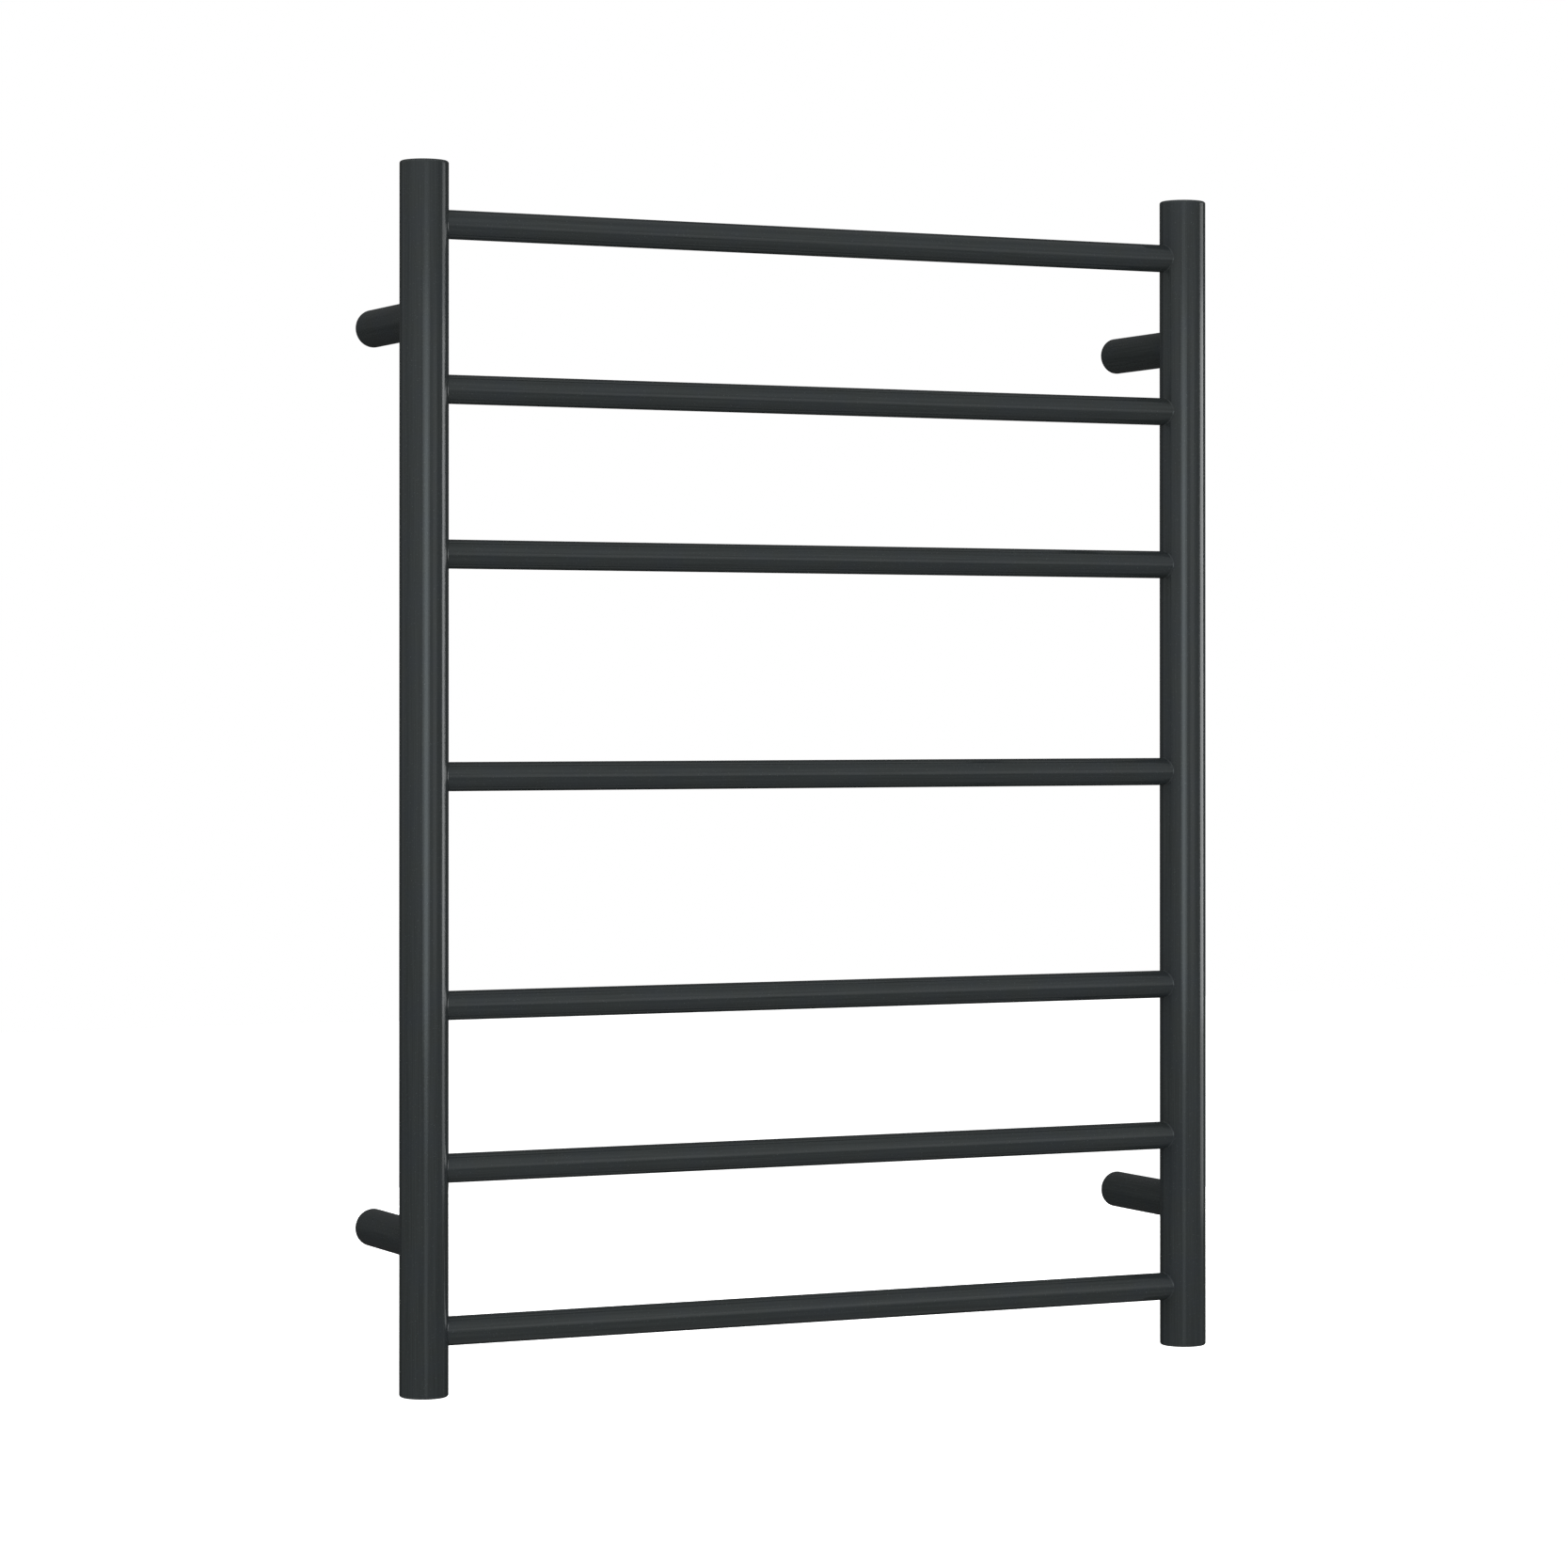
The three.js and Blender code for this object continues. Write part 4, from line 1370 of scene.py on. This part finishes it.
@dataclass
class EarthPoint(Assembly):
    """The earth stud on the right upright's lower cap, with its ring terminal and nut."""

    facets: int = 64
    shank_radius: float = 2 * MM
    foot_thickness: float = 0.8 * MM
    thread_pitch: float = 0.7 * MM
    thread_depth: float = 0.3 * MM
    nut_edge: float = 0.35 * MM
    nut_clearance: float = 0.3 * MM

    def build(self) -> None:
        """Makes the stud and the nut, and finishes the ring terminal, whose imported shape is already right."""
        stud, nut = Extent.of("earth_stud"), Extent.of("earth_nut")
        self.shop.fit("earth_stud", self.stud(stud), ZINC, Lie.UP, Vector((*stud.centre.xy, stud.low.z)))
        self.shop.fit("earth_nut", self.nut(nut), ZINC, Lie.UP, Vector((*nut.centre.xy, nut.low.z)))
        self.shop.dress("earth_ring_terminal", TIN_PLATE)

    def stud(self, extent: Extent) -> bpy.types.Mesh:
        """Makes the stud about Z, its foot at height 0.

        Args:
            extent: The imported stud's box.

        Returns:
            The stud's mesh.
        """
        foot, root, length = extent.size.x / 2, self.shank_radius - self.thread_depth, extent.size.z
        outline = Outline(0, 0).run(foot, 0).run(foot, self.foot_thickness).run(root, self.foot_thickness)
        outline.thread(self.shank_radius, root, length, self.thread_pitch).run(0, length)
        return self.shop.lathe.turn("earth_stud", outline, ZINC, self.facets)

    def nut(self, extent: Extent) -> bpy.types.Mesh:
        """Makes the nut about Z, its underside at height 0 and two of its corners on Y.

        Args:
            extent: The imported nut's box.

        Returns:
            The nut's mesh.
        """
        corner, height = extent.size.y / 2, extent.size.z
        angles = [math.radians(90 + 60 * step) for step in range(6)]
        corners = [(corner * math.cos(angle), corner * math.sin(angle)) for angle in angles]
        radius = self.shank_radius + self.nut_clearance
        hole = Hole(radius, height + 2 * MM, Vector((0, 0, -MM)), self.facets)
        return self.shop.drill.bore(Prism(corners, height, self.nut_edge).mesh("earth_nut"), ZINC, hole)


# ---- Studio ----


@dataclass(frozen=True)
class Softbox:
    """A rectangular studio light that faces a point of the rack, and can be left out of reflections."""

    name: str
    place: tuple[float, float, float]
    aim: tuple[float, float, float]
    width: float
    height: float
    radiance: float
    colour: str = "#ffffff"
    mirrored: bool = True

    def build(self) -> None:
        """Adds the light. Its power follows from its radiance, so its size can change by itself."""
        data = bpy.data.lights.new(self.name, "AREA")
        data.shape = "RECTANGLE"
        data.size = self.width
        data.size_y = self.height
        data.energy = self.radiance * math.pi * self.width * self.height
        data.color = linear(self.colour)[:3]
        light = bpy.data.objects.new(self.name, data)
        turn = (Vector(self.aim) - Vector(self.place)).to_track_quat("-Z", "Y").to_matrix().to_4x4()
        light.matrix_world = Matrix.Translation(self.place) @ turn
        light.visible_camera = False
        light.visible_glossy = self.mirrored
        bpy.context.scene.collection.objects.link(light)


@dataclass(frozen=True)
class Room:
    """The dim room that the coat mirrors: brighter above the horizon and in front, dark behind.

    Each profile lists stops of a direction's share along an axis and the level of light there.
    """

    up: tuple[float, float, float] = (0.05, 0.0, 1.0)
    by_height: Sequence[tuple[float, float]] = ((-1.0, 0.52), (-0.14, 0.26), (-0.02, 0.5), (0.8, 0.78))
    facing: tuple[float, float, float] = (-0.43, -0.9, 0.0)
    by_facing: Sequence[tuple[float, float]] = (
        (-0.55, 0.12),
        (-0.42, 0.5),
        (-0.25, 0.48),
        (0.2, 0.46),
        (0.55, 0.8),
        (0.95, 1.0),
    )
    colour: str = "#fbffff"

    def build(self) -> None:
        """Makes the world: this room for the rack, and plain white for the camera."""
        world = bpy.data.worlds.new("surround")
        world.use_nodes = True
        tree = world.node_tree
        tree.nodes.clear()
        add = partial(add_node, tree)
        direction = add("ShaderNodeTexCoord").outputs["Generated"]
        high, front = (
            self.level(tree, direction, axis, stops)
            for axis, stops in ((self.up, self.by_height), (self.facing, self.by_facing))
        )
        strength = add("ShaderNodeMath", {"operation": "MULTIPLY"}, {0: high, 1: front})
        cast = add("ShaderNodeBackground", inputs={"Color": linear(self.colour), "Strength": strength})
        seen = add("ShaderNodeBackground", inputs={"Color": linear("#ffffff"), "Strength": 1.0})
        ray = add("ShaderNodeLightPath").outputs["Is Camera Ray"]
        mixed = add("ShaderNodeMixShader", inputs={0: ray, 1: cast, 2: seen})
        add("ShaderNodeOutputWorld", inputs={"Surface": mixed})
        bpy.context.scene.world = world

    def level(
        self,
        tree: bpy.types.NodeTree,
        direction: bpy.types.NodeSocket,
        axis: tuple[float, float, float],
        stops: Sequence[tuple[float, float]],
    ) -> bpy.types.Node:
        """Adds a smooth profile of light along an axis.

        Args:
            tree: The world's tree.
            direction: The direction looked in.
            axis: The axis along which the light changes.
            stops: Shares along the axis, rising, each with its level.

        Returns:
            The node that gives the level.
        """
        share = add_node(tree, "ShaderNodeVectorMath", {"operation": "DOT_PRODUCT"}, {0: direction, 1: axis})
        level = stops[0][1]
        for (start, _), (stop, after) in zip(stops, stops[1:]):
            span = {"Value": share, "From Min": start, "From Max": stop, "To Min": level, "To Max": after}
            level = add_node(tree, "ShaderNodeMapRange", {"interpolation_type": "SMOOTHSTEP"}, span)
        return level


@dataclass
class Studio:
    """A pale floor, a white surround that only the camera sees, soft light and the camera."""

    camera_place: tuple[float, float, float] = (-1.37225, -2.90573, 0.04788)
    camera_yaw: float = 25.593
    camera_pitch: float = 0.243
    lens: float = 106.58
    shift_y: float = -0.0633
    floor_drop: float = 0.2
    floor_side: float = 12.0
    room: Room = Room()
    lights: Sequence[Softbox] = (
        Softbox("front_strip", (-0.7, -2.33, -0.02), (0, -0.09, -0.02), 0.62, 0.78, 0.9, "#f0fbff"),
        Softbox("front_strip_ends", (-0.7, -2.33, -0.05), (0, -0.09, -0.05), 0.62, 1.45, 0.34, "#f0fbff"),
        Softbox("front_halo", (-0.7, -2.36, 0.1), (0, -0.09, 0.1), 1.35, 0.85, 0.85, "#f0fbff"),
        Softbox("front_glow", (1.1, -2.36, 0.12), (0, -0.09, 0.12), 0.9, 0.8, 0.3),
        Softbox("right_panel", (2.5, -0.39, 0.1), (0, -0.39, 0.1), 1.1, 0.85, 2.9),
        Softbox("right_panel_ends", (2.5, -0.39, 0.1), (0, -0.39, 0.1), 1.1, 1.3, 1.1),
        Softbox("left_fill", (-2.4, 0.7, 0), (0, -0.05, 0), 1.2, 1.6, 1.5, mirrored=False),
        Softbox("back_fill", (1.25, 2.6, 0.4), (0, -0.09, 0), 2.2, 2.2, 2.5, mirrored=False),
    )

    def build(self) -> None:
        """Makes the camera, the world, the floor and the lights."""
        self.add_camera()
        self.room.build()
        self.add_floor()
        for light in self.lights:
            light.build()
        bpy.context.scene.view_settings.view_transform = "Standard"

    def add_camera(self) -> None:
        """Adds the camera, in front of the rack and to its left, and makes it the scene's."""
        data = bpy.data.cameras.new("camera")
        data.sensor_width = 36
        data.lens = self.lens
        data.shift_y = self.shift_y
        camera = bpy.data.objects.new("camera", data)
        camera.location = self.camera_place
        camera.rotation_euler = (math.radians(90 + self.camera_pitch), 0, math.radians(-self.camera_yaw))
        bpy.context.scene.collection.objects.link(camera)
        bpy.context.scene.camera = camera

    def floor_paint(self) -> bpy.types.Material:
        """Makes the floor's paint. It glows a little, so that the floor is as white as the surround.

        Returns:
            The material.
        """
        material = bpy.data.materials.new("pale_floor_paint")
        material.use_nodes = True
        tree = material.node_tree
        tree.nodes.clear()
        add = partial(add_node, tree)
        place = add("ShaderNodeTexCoord").outputs["Object"]
        stipple = add("ShaderNodeTexNoise", inputs={"Vector": place, "Scale": cells(3.0)})
        bump = add("ShaderNodeBump", inputs={"Strength": 0.2, "Distance": 0.1 * MM, "Height": stipple})
        look = {"Base Color": linear("#f4f4f4"), "Roughness": 0.7, "Normal": bump}
        glow = {"Emission Color": linear("#ffffff"), "Emission Strength": 1.0}
        paint = add("ShaderNodeBsdfPrincipled", inputs={**look, **glow})
        add("ShaderNodeOutputMaterial", inputs={"Surface": paint})
        return material

    def add_floor(self) -> None:
        """Lays a pale floor below the rack."""
        mesh = bpy.data.meshes.new("floor")
        body = bmesh.new()
        bmesh.ops.create_grid(body, x_segments=2, y_segments=2, size=self.floor_side / 2)
        bmesh.ops.translate(body, verts=body.verts, vec=(0, 0, CAD_BOX[0].z - self.floor_drop))
        body.to_mesh(mesh)
        body.free()
        mesh.materials.append(self.floor_paint())
        floor = bpy.data.objects.new("floor", mesh)
        floor.visible_glossy = False
        floor.visible_diffuse = False
        bpy.context.scene.collection.objects.link(floor)


def main() -> None:
    """Builds the studio and every sub-assembly, in order."""
    logging.basicConfig(level=logging.INFO, format="%(name)s: %(message)s")
    Studio().build()
    shop = Workshop()
    plan = Plan.read()
    for kind in (Uprights, Bars, WallPosts, HeatingRun, ThermalCutout, EarthPoint):
        LOG.info("building %s", kind.__name__)
        kind(shop, plan).build()
    LOG.info("%d pieces made", len(shop.made))


if __name__ == "__main__":
    main()
